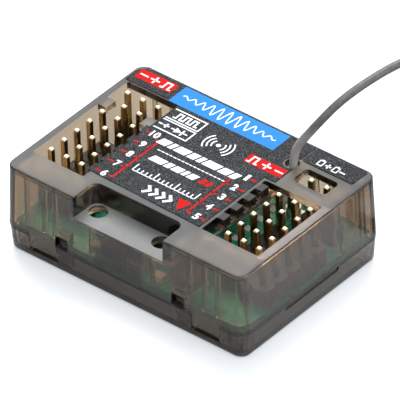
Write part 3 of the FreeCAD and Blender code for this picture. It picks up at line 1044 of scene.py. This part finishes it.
@dataclass
class LabelArt:
    """Everything printed on the two films.

    Lengths are in millimetres on the top face. The weight of the digits, the widths of one and ten
    and the bar of the bracket are shares of the digits' height and width and of the stroke.
    """

    film_top_mm: float
    left_rows: Sequence[float]
    right_rows: Sequence[float]
    white_lift: float = 0.014
    colour_lift: float = 0.001
    stroke: float = 0.26
    frame_stroke: float = 0.2
    thin_stroke: float = 0.17
    sign_stroke: float = 0.24
    left_first_number: int = 6
    right_first_number: int = 5
    left_digit_x: float = -8.2
    right_digit_x: float = 6.88
    digit_size: Place = (0.78, 1.28)
    digit_weight: float = 0.035
    width_of_one: float = 0.6
    width_of_ten: float = 1.72
    left_digit_drop: float = 0.14
    right_digit_drop: float = 0.24
    left_tick: Place = (-9.55, -8.95)
    right_tick: Place = (7.5, 8.3)
    tick_rise: float = 0.02
    left_bracket_x: float = -6.84
    right_bracket_x: float = 5.28
    bracket_hook: float = 0.62
    bracket_short: float = 0.9
    bracket_flare: Place = (0.05, 0.1)
    bracket_bar: float = 0.8
    signal_frame: Block = (-9.62, 6.55, -4.38, 8.65)
    lamp_frame: Block = (-9.62, 4.1, -4.3, 6.14)
    train_ends: Place = (-8.85, -4.95)
    train_levels: Place = (7.05, 8.12)
    train_starts: tuple[float, ...] = (-8.4, -7.2, -6.0)
    train_pulse: float = 0.6
    diode_y: float = 5.1
    diode_wires: Block = (-7.4, -6.9, -5.6, -4.95)
    diode_arrow: Point = (-6.85, -5.85, 0.55)
    diode_bar: Place = (-5.7, 0.45)
    lamp_minus: Place = (-9.225, 0.175)
    lamp_plus: Place = (-8.3, 0.32)
    chevron_x: tuple[float, ...] = (-1.95, -0.8, 0.35, 1.5)
    chevron_y: Point = (-5.9, -6.71, -7.52)
    chevron_reach: float = 0.72
    chevron_stroke: float = 0.42
    arrow: tuple[Place, ...] = ((2.72, -5.55), (3.94, -7.78), (4.88, -5.57))
    left_tag: Block = (-18.5, 10.75, -12.45, 12.7)
    right_tag: Block = (4.12, 5.43, 10.08, 7.24)
    left_signs: Block = (-17.45, -15.65, -13.6, 11.72)
    right_signs: Block = (9.3, 7.3, 5.25, 6.33)
    tag_minus: float = 0.55
    tag_plus: Place = (0.6, 0.55)
    tag_pulse: Point = (0.85, 0.4, 0.62)
    blue_panel: Block = (-11.6, 9.42, 5.75, 13.08)
    wave_steps: int = 132
    wave_cycles: int = 11
    wave_margin: float = 1.0
    wave_rise: float = 0.05
    wave_swell: Place = (0.25, 0.95)
    dot: Place = (-0.35, 5.95)
    dot_radius: float = 0.34
    dot_sides: int = 8
    wave_radii: Point = (0.95, 1.55, 2.15)
    wave_from: Place = (-42, 138)
    wave_span: float = 84
    white_bars: tuple[SlantedRow, ...] = (
        SlantedRow(-7.2, 1.62, (1.5, 0.7, 1.9, 1.2, 0.7, 2.3, 1.5, 1.0), 1.25, 0.3),
        SlantedRow(-5.75, -1.72, (2.2, 0.9, 1.4, 0.6, 1.2), 1.1, 0.28),
    )
    red_bars: SlantedRow = SlantedRow(2.35, -1.72, (0.8, 0.55), 1.1, 0.28)
    dashes: int = 17
    dash_at: Place = (-5.9, 0.55)
    dash_pitch: float = 0.66
    dash_length: float = 0.32
    scale_x: Place = (-5.85, 4.35)
    scale_y: float = -4.7
    scale_ticks: int = 16
    scale_pitch: float = 0.68
    scale_tops: Place = (-3.35, -4.05)
    tall_tick_every: int = 5
    plus_cell_x: Place = (12.35, 13.55)
    minus_cell_x: Place = (14.75, 15.8)
    cell_half: float = 0.36
    cell_y: Place = (10.6, 11.6)
    nub_half: float = 0.1
    nub_y: float = 11.75
    cell_sign_y: float = 11.08
    cell_sign_half: float = 0.33

    def build(self) -> None:
        """Print the films, ink by ink."""
        white = Print("print_white", INK_WHITE, self.film_top_mm + self.white_lift)
        red = Print("print_red", INK_RED, self.film_top_mm + self.colour_lift)
        blue = Print("print_blue", INK_BLUE, self.film_top_mm + self.colour_lift)
        self.channel_numbers(white, red)
        self.brackets(red)
        self.signal_box(white)
        self.lamp_box(white)
        self.bind_mark(white, red)
        self.polarity_tags(white, red)
        self.swelling_wave(white, blue)
        self.radiating_dot(white)
        self.plain_stripes(white, red)
        self.supply_marks(white)
        for ink in (white, red, blue):
            ink.finished()

    def plus(self, ink: Print, x: float, y: float, halves: Place, width: float) -> None:
        """A plus sign about a middle, with half its length and half its height."""
        ink.line((x - halves[0], y), (x + halves[0], y), width)
        ink.line((x, y - halves[1]), (x, y + halves[1]), width)

    def minus(self, ink: Print, x: float, y: float, half: float, width: float) -> None:
        """A minus sign about a middle, with half its length."""
        ink.line((x - half, y), (x + half, y), width)

    def channel_numbers(self, white: Print, red: Print) -> None:
        """Numbers 1 to 10 beside their rows, with ticks towards the pins.

        Args:
            white: Ink of the numbers.
            red: Ink of the ticks.
        """
        width, height = self.digit_size
        shares = {"1": self.width_of_one, "10": self.width_of_ten}
        left_count = range(self.left_first_number, self.left_first_number + len(self.left_rows))
        right_count = range(self.right_first_number, self.right_first_number - len(self.right_rows), -1)
        banks = ((self.left_rows, left_count, self.left_digit_x, self.left_digit_drop, self.left_tick),
                 (self.right_rows, right_count, self.right_digit_x, self.right_digit_drop, self.right_tick))
        for rows, numbers, x, drop, tick in banks:
            for number, row in zip(numbers, rows):
                text = str(number)
                half = width * shares.get(text, 1.0) / 2
                y = row - drop
                white.word(text, (x - half, y - height / 2, x + half, y + height / 2), self.digit_weight)
                red.line((tick[0], y - self.tick_rise), (tick[1], y + self.tick_rise), self.stroke)

    def brackets(self, red: Print) -> None:
        """A bracket along each bank, with a bar at every row between its ends.

        Args:
            red: Ink of the brackets.
        """
        for rows, x, side, drop in ((self.left_rows, self.left_bracket_x, -1, self.left_digit_drop),
                                    (self.right_rows, self.right_bracket_x, 1, self.right_digit_drop)):
            hook = x + side * self.bracket_hook
            low, high = rows[0] - drop, rows[-1] - drop - self.bracket_short
            red.path([(hook, low - self.bracket_flare[0]), (x, low), (x, high),
                      (hook, high + self.bracket_flare[1])], self.stroke)
            for row in rows[1:-1]:
                red.line((x, row - drop), (hook, row - drop), self.stroke * self.bracket_bar)

    def open_frame(self, white: Print, box: Block) -> None:
        """A frame round three sides of a box, open to the left."""
        left, front, right, back = box
        white.path([(left, back), (right, back), (right, front), (left, front)], self.frame_stroke)

    def signal_box(self, white: Print) -> None:
        """Framed pulse train of the signal row.

        Args:
            white: Ink of the sign.
        """
        self.open_frame(white, self.signal_frame)
        low, high = self.train_levels
        train = [(self.train_ends[0], low)]
        for start in self.train_starts:
            end = start + self.train_pulse
            train += [(start, low), (start, high), (end, high), (end, low)]
        white.path([*train, (self.train_ends[1], low)], self.stroke)

    def lamp_box(self, white: Print) -> None:
        """Framed diode of the lamp row, with its polarity.

        Args:
            white: Ink of the sign.
        """
        self.open_frame(white, self.lamp_frame)
        y = self.diode_y
        foot, tip, half = self.diode_arrow
        bar, reach = self.diode_bar
        white.line((self.diode_wires[0], y), (self.diode_wires[1], y), self.frame_stroke)
        white.area(((foot, y - half), (tip, y), (foot, y + half)))
        white.line((bar, y - reach), (bar, y + reach), self.stroke)
        white.line((self.diode_wires[2], y), (self.diode_wires[3], y), self.frame_stroke)
        self.minus(white, self.lamp_minus[0], y, self.lamp_minus[1], self.stroke)
        self.plus(white, self.lamp_plus[0], y, (self.lamp_plus[1], self.lamp_plus[1]), self.stroke)

    def bind_mark(self, white: Print, red: Print) -> None:
        """Chevrons that lead to the arrow at the peep hole of the pairing lamp.

        Args:
            white: Ink of the chevrons.
            red: Ink of the arrow.
        """
        back, middle, front = self.chevron_y
        for x in self.chevron_x:
            white.path([(x, back), (x + self.chevron_reach, middle), (x, front)], self.chevron_stroke)
        red.area(self.arrow)

    def polarity_tags(self, white: Print, red: Print) -> None:
        """Red tags with minus, plus and pulse signs, in the order of each bank's columns.

        Args:
            white: Ink of the signs.
            red: Ink of the tags.
        """
        for tag in (self.left_tag, self.right_tag):
            red.panel(*tag)
        reach, half, height = self.tag_pulse
        for minus_x, plus_x, pulse_x, y in (self.left_signs, self.right_signs):
            self.minus(white, minus_x, y, self.tag_minus, self.sign_stroke)
            self.plus(white, plus_x, y, self.tag_plus, self.stroke)
            low, high = y - height, y + height
            white.path([(pulse_x - reach, low), (pulse_x - half, low), (pulse_x - half, high),
                        (pulse_x + half, high), (pulse_x + half, low), (pulse_x + reach, low)],
                       self.sign_stroke)

    def swelling_wave(self, white: Print, blue: Print) -> None:
        """A plain wave on the blue panel, highest at its middle.

        Args:
            white: Ink of the wave.
            blue: Ink of the panel.
        """
        blue.panel(*self.blue_panel)
        left, front, right, back = self.blue_panel
        middle = (front + back) / 2 + self.wave_rise
        least, growth = self.wave_swell
        wave = []
        for i in range(self.wave_steps + 1):
            share = i / self.wave_steps
            swell = least + growth * math.sin(math.pi * share) ** 2
            wave.append((left + self.wave_margin + (right - left - 2 * self.wave_margin) * share,
                         middle + swell * math.sin(2 * math.pi * self.wave_cycles * share)))
        white.path(wave, self.thin_stroke)

    def radiating_dot(self, white: Print) -> None:
        """A round dot with arcs to both sides.

        Args:
            white: Ink of the sign.
        """
        x, y = self.dot
        turn = 2 * math.pi / self.dot_sides
        rim = [(x + self.dot_radius * math.cos(turn * i), y + self.dot_radius * math.sin(turn * i))
               for i in range(self.dot_sides + 1)]
        for start, end in zip(rim, rim[1:]):
            white.area((self.dot, start, end))
        for radius in self.wave_radii:
            for first in self.wave_from:
                white.ring(self.dot, radius, self.frame_stroke, (first, first + self.wave_span))

    def plain_stripes(self, white: Print, red: Print) -> None:
        """Slanted bars, dashes and a scale in the middle of the label.

        Args:
            white: Ink of all but one row of bars.
            red: Ink of that row.
        """
        for row in self.white_bars:
            row.draw(white)
        self.red_bars.draw(red)
        for i in range(self.dashes):
            start, y = self.dash_at[0] + i * self.dash_pitch, self.dash_at[1]
            white.line((start, y), (start + self.dash_length, y), self.thin_stroke)
        left, right = self.scale_x
        white.line((left, self.scale_y), (right, self.scale_y), self.thin_stroke)
        tall, short = self.scale_tops
        for i in range(self.scale_ticks):
            x = left + i * self.scale_pitch
            top = short if i % self.tall_tick_every else tall
            white.line((x, self.scale_y), (x, top), self.thin_stroke)

    def supply_marks(self, white: Print) -> None:
        """Cell signs of the two supply pins on the strip film, with their polarity.

        Args:
            white: Ink of the signs.
        """
        half, (low, high) = self.cell_half, self.cell_y
        for cell, sign in (self.plus_cell_x, self.minus_cell_x):
            white.path([(cell, low), (cell + half, low), (cell + half, high), (cell - half, high),
                        (cell - half, low), (cell, low)], self.thin_stroke)
            self.minus(white, cell, self.nub_y, self.nub_half, self.thin_stroke)
            if (cell, sign) == self.plus_cell_x:
                halves = (self.cell_sign_half, self.cell_sign_half)
                self.plus(white, sign, self.cell_sign_y, halves, self.sign_stroke)
            else:
                self.minus(white, sign, self.cell_sign_y, self.cell_sign_half, self.sign_stroke)


class BoardFace(Enum):
    """The two faces of the board. The value is the way that a face looks along Z."""

    TOP = 1
    UNDER = -1


@dataclass
class BoardDetail:
    """What is etched, printed and soldered on the board. Lengths in millimetres."""

    frame: dict
    left_rows: Sequence[float]
    right_rows: Sequence[float]
    foil: float = 0.02
    track: float = 0.22
    track_pitch: float = 0.46
    lead_pitch: float = 0.75
    mitre: float = 0.3
    right_bank_x: float = 10.4
    right_bend_x: float = 9.6
    right_end: Place = (1.9, 12.1)
    left_bank_x: float = -9.7
    left_bend_x: float = -9.1
    left_end: Place = (-6.95, -6.225)
    bus_tracks: int = 4
    bus_x: Block = (-16.6, -15.2, 9.2, 16.8)
    bus_y: float = -12.1
    bus_drop: float = 1.4
    bus_climb: float = 1.6
    bus_bend_step: float = 0.2
    supply_x: Block = (-14.68, -12.14, 14.37, 16.91)
    supply_y: Place = (-8.6, 6.2)
    supply_track: float = 0.88
    under_tracks: int = 6
    under_start: Place = (-10.8, -6.0)
    under_bend_x: float = -3.0
    under_end: Place = (10.6, -5.2)
    under_pitches: Place = (1.6, 1.5)
    silk: float = 0.1
    silk_clear: float = 0.16
    first_lead_dot: Place = (0.7, 0.1)
    dot_radius: float = 0.12
    dot_stroke: float = 0.22
    cap_length: float = 0.32
    cap_proud: float = 0.03
    cap_edge: float = 0.03
    joint_height: float = 0.85
    joint_radius: float = 0.85
    joint_hollow: float = 2.2
    joint_steps: int = 4
    joint_sides: int = 12
    tail_radius: float = 0.46
    ring_sides: int = 10
    via_radius: float = 0.17
    via_wall: float = 0.1
    via_growth: float = 0.15
    right_via: Place = (7.3, 1.3)
    left_via: Place = (-9.0, 1.25)
    front_vias: int = 10
    front_via_x: float = -13.5
    front_via_pitch: float = 2.9
    front_via_y: Place = (-9.2, -11.6)
    pads_in_row: int = 5
    pad_at: Place = (6.3, 1.0)
    pad_size: Place = (0.95, 1.0)
    pad_pitch: float = 2.54
    edge_fingers: int = 6
    finger_at: Place = (3.7, 10.75)
    finger_half: Place = (0.75, 0.1)
    finger_pitch: float = 0.36

    def level(self, side: BoardFace) -> float:
        """Height at which a layer of foil starts on a face of the board."""
        low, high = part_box("main_board")
        return high.z / MM if side is BoardFace.TOP else low.z / MM - self.foil

    def layer(self, name: str, finish: Finish, slot: str, side: BoardFace = BoardFace.TOP,
              lift: float = 0.0) -> Print:
        """An empty layer on one face of the board.

        Args:
            name: Name of the piece.
            finish: Its finish.
            slot: The record's material slot, kept on the layer but not used.
            side: The face that it lies on.
            lift: How far it lies above the bare face.

        Returns:
            The layer, to be drawn on.
        """
        return Print(name, finish, self.level(side) + lift * side.value, self.foil, slot)

    def build(self) -> None:
        """Add every layer, the end caps and the solder."""
        self.tracks()
        self.tracks_under()
        self.pads()
        self.fingers()
        self.outlines()
        self.end_caps()
        self.joints()

    def route(self, layer: Print, start: Place, across: float, end: Place) -> None:
        """Lay one track with mitred bends: along X, then along Y, then along X again.

        Args:
            layer: The layer that takes it.
            start: Its start.
            across: Where it runs along Y.
            end: Its end.
        """
        into = math.copysign(self.mitre, across - start[0])
        out = math.copysign(self.mitre, end[0] - across)
        climb = math.copysign(self.mitre, end[1] - start[1])
        layer.path([start, (across - into, start[1]), (across, start[1] + climb), (across, end[1] - climb),
                    (across + out, end[1]), end], self.track)

    def tracks(self) -> None:
        """Signal tracks from both banks to the middle, and a bus along the front edge."""
        top = self.layer("board_tracks", TRACK_GREEN, "board_green")
        for i, row in enumerate(self.right_rows):
            step = self.track_pitch * (len(self.right_rows) - 1 - i)
            end = (self.right_end[0], self.right_end[1] - step)
            self.route(top, (self.right_bank_x, row), self.right_bend_x - step, end)
        for i, row in enumerate(self.left_rows):
            end = (self.left_end[0], self.left_end[1] + self.lead_pitch * i)
            self.route(top, (self.left_bank_x, row), self.left_bend_x + self.track_pitch * i, end)
        left, first_bend, last_bend, right = self.bus_x
        for i in range(self.bus_tracks):
            y = self.bus_y + self.track_pitch * i
            bend = last_bend - self.bus_bend_step * i
            top.path([(left, y + self.bus_drop), (first_bend, y), (bend, y),
                      (bend + self.bus_climb, y + self.bus_climb), (right, y + self.bus_climb)], self.track)
        top.finished()

    def tracks_under(self) -> None:
        """Broad supply tracks under both banks, and signal tracks across the board's underside."""
        under = self.layer("board_tracks_under", TRACK_GREEN, "board_green", BoardFace.UNDER)
        for x in self.supply_x:
            under.path([(x, y) for y in self.supply_y], self.supply_track)
        for i in range(self.under_tracks):
            start = (self.under_start[0], self.under_start[1] + self.under_pitches[0] * i)
            end = (self.under_end[0], self.under_end[1] + self.under_pitches[1] * i)
            self.route(under, start, self.under_bend_x + self.track_pitch * i, end)
        under.finished()

    def pads(self) -> None:
        """Tinned test pads in the step of the right bank, and vias."""
        pads = self.layer("board_pads", SILK_WHITE, "solder_tin", lift=2 * self.foil)
        x, y = self.pad_at
        width, depth = self.pad_size
        for i in range(self.pads_in_row):
            middle = y + self.pad_pitch * i
            pads.panel(x - width / 2, middle - depth / 2, x + width / 2, middle + depth / 2)
        vias = self.layer("board_vias", SOLDER, "solder_tin", lift=2 * self.foil)
        for i, centre in enumerate(self.via_places()):
            radius = self.via_radius * (1 + self.via_growth * (i % 2))
            vias.ring(centre, radius, self.via_wall, (0, 360), self.ring_sides)
        pads.finished()
        vias.finished()

    def fingers(self) -> None:
        """Gold contact fingers at the back edge."""
        fingers = self.layer("board_fingers", CONTACT_GOLD, "pin_gold", lift=2 * self.foil)
        x, first = self.finger_at
        across, along = self.finger_half
        for i in range(self.edge_fingers):
            y = first + self.finger_pitch * i
            fingers.panel(x - across, y - along, x + across, y + along)
        fingers.finished()

    def via_places(self) -> list[Place]:
        """Places of the vias beside the tracks.

        Returns:
            One beside each row of both banks, and a staggered row along the front.
        """
        right = [(self.right_via[0], row + self.right_via[1]) for row in self.right_rows]
        left = [(self.left_via[0], row + self.left_via[1]) for row in self.left_rows]
        front = [(self.front_via_x + self.front_via_pitch * i, self.front_via_y[i % 2])
                 for i in range(self.front_vias)]
        return right + left + front

    def outlines(self) -> None:
        """White printed frames round the components, with a dot at the first lead of the processor."""
        silk = self.layer("board_outlines", SILK_WHITE, "board_green", lift=self.foil)
        boxes = [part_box("controller_leads"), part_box("radio_shield")]
        for node in ("reservoir_capacitors", "chip_capacitors", "chip_resistors", "status_lamps"):
            boxes += islands(self.frame, node)
        for low, high in boxes:
            left, front = low.x / MM - self.silk_clear, low.y / MM - self.silk_clear
            right, back = high.x / MM + self.silk_clear, high.y / MM + self.silk_clear
            silk.path([(left, front), (right, front), (right, back), (left, back), (left, front)], self.silk)
        low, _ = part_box("controller_leads")
        dot = (low.x / MM - self.first_lead_dot[0], low.y / MM - self.first_lead_dot[1])
        silk.ring(dot, self.dot_radius, self.dot_stroke, (0, 360), self.ring_sides)
        silk.finished()

    def end_caps(self) -> None:
        """Tinned ends of the chip resistors and capacitors, which wrap round their bodies."""
        mesh = bmesh.new()
        proud = mm(self.cap_proud, self.cap_proud, self.cap_proud)
        for node in ("chip_resistors", "chip_capacitors"):
            for low, high in islands(self.frame, node):
                size = high - low
                axis = 0 if size.x > size.y else 1
                for end in (0, 1):
                    near, far = low - proud, high + proud
                    near.z = low.z
                    if end:
                        near[axis] = high[axis] - self.cap_length * MM
                    else:
                        far[axis] = low[axis] + self.cap_length * MM
                    add_block(mesh, near, far, self.cap_edge * MM)
        shape("chip_end_caps", mesh, SOLDER)

    def cone(self, mesh: bmesh.types.BMesh, centre: Vector) -> None:
        """Spin one hollow-sided solder cone that hangs from a face.

        Args:
            mesh: The bmesh that grows.
            centre: Middle of its base in metres.
        """
        edge = []
        for i in range(self.joint_steps + 1):
            share = i / self.joint_steps
            wider = (self.joint_radius - self.tail_radius) * (1 - share) ** self.joint_hollow
            edge.append(mesh.verts.new(centre + mm(self.tail_radius + wider, 0, -self.joint_height * share)))
        runs = [mesh.edges.new(pair) for pair in zip(edge, edge[1:])]
        bmesh.ops.spin(mesh, geom=edge + runs, cent=centre, axis=(0, 0, 1), angle=2 * math.pi,
                       steps=self.joint_sides, use_merge=True)

    def joints(self) -> None:
        """A solder cone round the tail of every contact post."""
        mesh = bmesh.new()
        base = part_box("main_board")[0].z
        for node in self.frame["nodes"]:
            if node.startswith("pins_"):
                for low, high in islands(self.frame, node):
                    self.cone(mesh, Vector(((low.x + high.x) / 2, (low.y + high.y) / 2, base)))
        rims = [e for e in mesh.edges if e.is_boundary]
        bmesh.ops.holes_fill(mesh, edges=rims, sides=self.joint_sides)
        shape("solder_joints", mesh, SOLDER, smooth=True)


@dataclass
class AerialLead:
    """Coaxial aerial lead: out of its sleeve, over the case and down to a coil.

    Lengths are in millimetres.
    """

    diameter: float = 1.13
    coil_centre: Place = (25.6, 25.4)
    coil_radius: float = 7.365
    turns: float = 1.96
    points_per_turn: int = 14
    turn_gap: float = 1.16
    curve_order: int = 3
    run_steps: int = 8
    round_steps: int = 5
    route: Sequence[Point] = (
        (9.4, 8.95, 10.8),
        (9.4, 8.95, 15.0),
        (11.5, 9.65, 18.45),
        (13.8, 14.7, 22.88),
        (16.85, 25.5, 24.65),
        (21.85, 33.65, 22.45),
        (27.6, 39.2, 16.6),
        (31.2, 41.0, 9.4),
        (32.8, 39.9, 3.6),
        (32.965, 34.6, 0.565),
        (32.965, 29.8, 0.565),
    )

    def coil_points(self) -> list[Vector]:
        """Control points of the coil's turns, which wind inwards side by side on the floor.

        Returns:
            The points, from the outermost inwards.
        """
        step = 2 * math.pi / self.points_per_turn
        found = []
        for i in range(round(self.turns * self.points_per_turn)):
            angle = -(i + 0.5) * step
            radius = self.coil_radius + self.turn_gap * angle / (2 * math.pi)
            reach = radius / math.cos(step / 2)
            found.append(Vector((self.coil_centre[0] + reach * math.cos(angle),
                                 self.coil_centre[1] + reach * math.sin(angle), self.diameter / 2)))
        return found

    def build(self) -> bpy.types.Object:
        """The lead as one curve.

        Returns:
            The cord.
        """
        points = [Vector(p) for p in self.route] + self.coil_points()
        curve = bpy.data.curves.new("aerial_wire", "CURVE")
        curve.dimensions = "3D"
        spline = curve.splines.new("NURBS")
        spline.points.add(len(points) - 1)
        for place, point in zip(spline.points, points):
            place.co = (*(point * MM), 1.0)
        spline.order_u = self.curve_order
        spline.use_endpoint_u = True
        spline.resolution_u = self.run_steps
        curve.bevel_depth = self.diameter / 2 * MM
        curve.bevel_resolution = self.round_steps
        curve.use_fill_caps = True
        piece = settle(placed("aerial_wire", curve), LEAD_GREY)
        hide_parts("aerial_lead", "aerial_coil")
        return piece

    def length(self, points: Sequence[Vector]) -> float:
        """Length of the smooth line, read from a quadratic curve through the middles of the runs.

        Args:
            points: Its control points.

        Returns:
            The length.
        """
        total = 0.0
        last = points[0]
        for i in range(1, len(points) - 1):
            start = last
            end = points[-1] if i == len(points) - 2 else (points[i] + points[i + 1]) / 2
            before = start
            for k in range(1, self.run_steps + 1):
                t = k / self.run_steps
                here = start * (1 - t) ** 2 + points[i] * (2 * t * (1 - t)) + end * t ** 2
                total += (here - before).length
                before = here
            last = end
        return total


@dataclass(frozen=True)
class Softbox:
    """One soft rectangular lamp. Place and size in metres, power in watts."""

    name: str
    place: Point
    size: Place
    power: float
    tone: Point = (1.0, 1.0, 1.0)

    def hang(self, aim: Vector) -> None:
        """Hang the lamp so that it looks at a point.

        Args:
            aim: The point, in metres.
        """
        data = bpy.data.lights.new(self.name, "AREA")
        data.shape = "RECTANGLE"
        data.size, data.size_y = self.size
        data.energy = self.power
        data.color = self.tone
        lamp = placed(self.name, data)
        lamp.location = self.place
        lamp.rotation_euler = (aim - Vector(self.place)).to_track_quat("-Z", "Y").to_euler()


@dataclass
class Studio:
    """Pale floor, soft light and the camera at the angle of the picture.

    Lengths are in metres and angles in degrees.
    """

    azimuth: float = 40.643
    elevation: float = 37.514
    roll: float = -1.726
    aim: Vector = field(default_factory=lambda: mm(0, 0, 6))
    distance: float = 1.2
    lens: float = 844.44
    sensor: float = 36.0
    clip: Place = (0.01, 50.0)
    shift: Place = (0.0192, 0.0361)
    floor_half: float = 3.0
    ambient: Place = (0.05, 0.6)
    gloss: Place = (0.15, 1.15)
    bright_side: Point = (0.1, 0.5, 0.86)
    bright_range: Place = (-0.5, 0.8)
    first_dull_depth: float = 0.5
    sky: Colour = (0.9, 0.95, 1.0, 1.0)
    paper: Colour = (0.42, 0.415, 0.41, 1.0)
    paper_roughness: float = 0.8
    paper_glow: Colour = (0.92, 0.96, 1.0, 1.0)
    paper_lift: float = 0.43
    paper_through_glass: float = 0.58
    card_edge: Place = (0.0185, 0.0205)
    card_gloss: Place = (0.05, 0.42)
    lamps: tuple[Softbox, ...] = (
        Softbox("overhead", (0.0, 0.0, 0.95), (0.6, 0.6), 3.0, (0.93, 0.97, 1.0)),
        Softbox("back", (-0.37, 0.43, 0.88), (0.7, 0.7), 17.5),
        Softbox("fill", (0.45, -0.52, 0.85), (0.5, 0.5), 7.0, (0.93, 0.97, 1.0)),
        Softbox("right", (0.85, 0.15, 0.3), (0.4, 0.3), 4.5, (0.78, 0.88, 1.0)),
    )

    def camera(self) -> None:
        """Stand the camera where the picture was taken."""
        turn, rise, lean = (math.radians(a) for a in (self.azimuth, self.elevation, self.roll))
        right = Vector((math.cos(turn), math.sin(turn), 0))
        back = Vector((math.sin(turn) * math.cos(rise), -math.cos(turn) * math.cos(rise), math.sin(rise)))
        up = back.cross(right)
        across = right * math.cos(lean) + up * math.sin(lean)
        above = up * math.cos(lean) - right * math.sin(lean)
        data = bpy.data.cameras.new("camera")
        data.lens = self.lens
        data.sensor_width = self.sensor
        data.shift_x, data.shift_y = self.shift
        data.clip_start, data.clip_end = self.clip
        stand = Matrix((across, above, back)).transposed().to_4x4()
        stand.translation = self.aim + back * self.distance
        camera = placed("camera", data)
        camera.matrix_world = stand
        bpy.context.scene.camera = camera

    def world(self) -> None:
        """Even ambient light, seen as white by the camera and in gloss."""
        world = bpy.data.worlds.new("studio")
        world.use_nodes = True
        world.node_tree.nodes.clear()
        air = Wiring(world.node_tree)
        along = air.node("VectorMath")
        along.operation = "DOT_PRODUCT"
        air.feed(along.inputs[0], air.node("TexCoord").outputs["Generated"])
        air.feed(along.inputs[1], self.bright_side)
        strength, in_gloss = (air.ranged(along.outputs["Value"], self.bright_range, ends)
                              for ends in (self.ambient, self.gloss))
        by_camera = air.node("LightPath").outputs["Is Camera Ray"]
        for seen, level in ((self.seen_directly(air), in_gloss), (by_camera, 1.0)):
            strength = air.node("Mix", factor=seen, a=strength, b=level).outputs["Result"]
        light = air.node("Background", color=self.sky, strength=strength)
        air.node("OutputWorld", surface=light.outputs["Background"])
        bpy.context.scene.world = world

    def seen_directly(self, wiring: Wiring, in_gloss: object = 1.0, through_glass: float = 1.0) -> Socket:
        """How directly a thing is seen, for a white background.

        Args:
            wiring: Tree that gets the nodes.
            in_gloss: What a glossy face reflects of it, a number or a socket.
            through_glass: What is seen of it through glass.

        Returns:
            One for the camera, the shares for gloss and glass, and nothing past a dull surface.
        """
        path = wiring.node("LightPath").outputs
        glossy = wiring.joined("MULTIPLY", path["Is Glossy Ray"], in_gloss)
        glass = wiring.joined("MULTIPLY", path["Is Transmission Ray"], through_glass)
        before_dull = wiring.joined("LESS_THAN", path["Diffuse Depth"], self.first_dull_depth)
        indirect = wiring.joined("MULTIPLY", wiring.joined("MAXIMUM", glossy, glass), before_dull)
        return wiring.joined("MAXIMUM", path["Is Camera Ray"], indirect)

    def floor(self) -> None:
        """White sweep under the part, which keeps its soft shadow."""
        mesh = bmesh.new()
        bmesh.ops.create_grid(mesh, x_segments=1, y_segments=1, size=self.floor_half)
        floor = placed("floor", meshed("floor", mesh))
        paper = Recipe("floor_paper")
        along = paper.node("SeparateXYZ", vector=paper.coords).outputs["X"]
        beside = paper.ranged(along, self.card_edge, self.card_gloss)
        seen = self.seen_directly(paper, beside, self.paper_through_glass)
        paper.put(base_color=self.paper, roughness=self.paper_roughness, specular_ior_level=0.0,
                  emission_color=self.paper_glow,
                  emission_strength=paper.joined("MULTIPLY", seen, self.paper_lift))
        floor.data.materials.append(paper.material)

    def build(self) -> None:
        """Set up the whole studio."""
        self.camera()
        self.world()
        self.floor()
        for lamp in self.lamps:
            lamp.hang(self.aim)


def dress_solids(frame: dict) -> None:
    """Give every carried-over solid the finish of its slot.
    """
    for part in frame["record"]["subparts"]:
        dress(frame["nodes"][part["node"]], SLOT_FINISH[part["material_slot"]])


def row_places(names: Iterable[str]) -> list[float]:
    """Where the rows of a bank stand.

    Args:
        names: Names of the rows' headers, without what they all start with.

    Returns:
        Middle of each header along Y, in millimetres.
    """
    found = []
    for name in names:
        low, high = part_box("header_base_" + name)
        found.append((low.y + high.y) / 2 / MM)
    return found


def main() -> None:
    """Load the solids, dress them, add what they lack and set up the studio."""
    logging.basicConfig(level=logging.INFO, format="%(name)s: %(message)s")
    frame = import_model()
    bpy.context.scene.view_settings.view_transform = "Standard"
    dress_solids(frame)
    CaseSkin("upper_shell", "clear_shell", SMOKE_SHELL).build(frame)
    CaseSkin("bottom_cover", "clear_cover", SMOKE_COVER).build(frame)
    AerialLead().build()
    left_rows = row_places("channel_%02d" % n for n in range(6, 11))
    right_rows = row_places("channel_%02d" % n for n in range(5, 0, -1))
    ShelfTexture().build(frame)
    BoardDetail(frame, left_rows, right_rows).build()
    LabelArt(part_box("top_label")[1].z / MM, left_rows, right_rows).build()
    Studio().build()


if __name__ == "__main__":
    main()
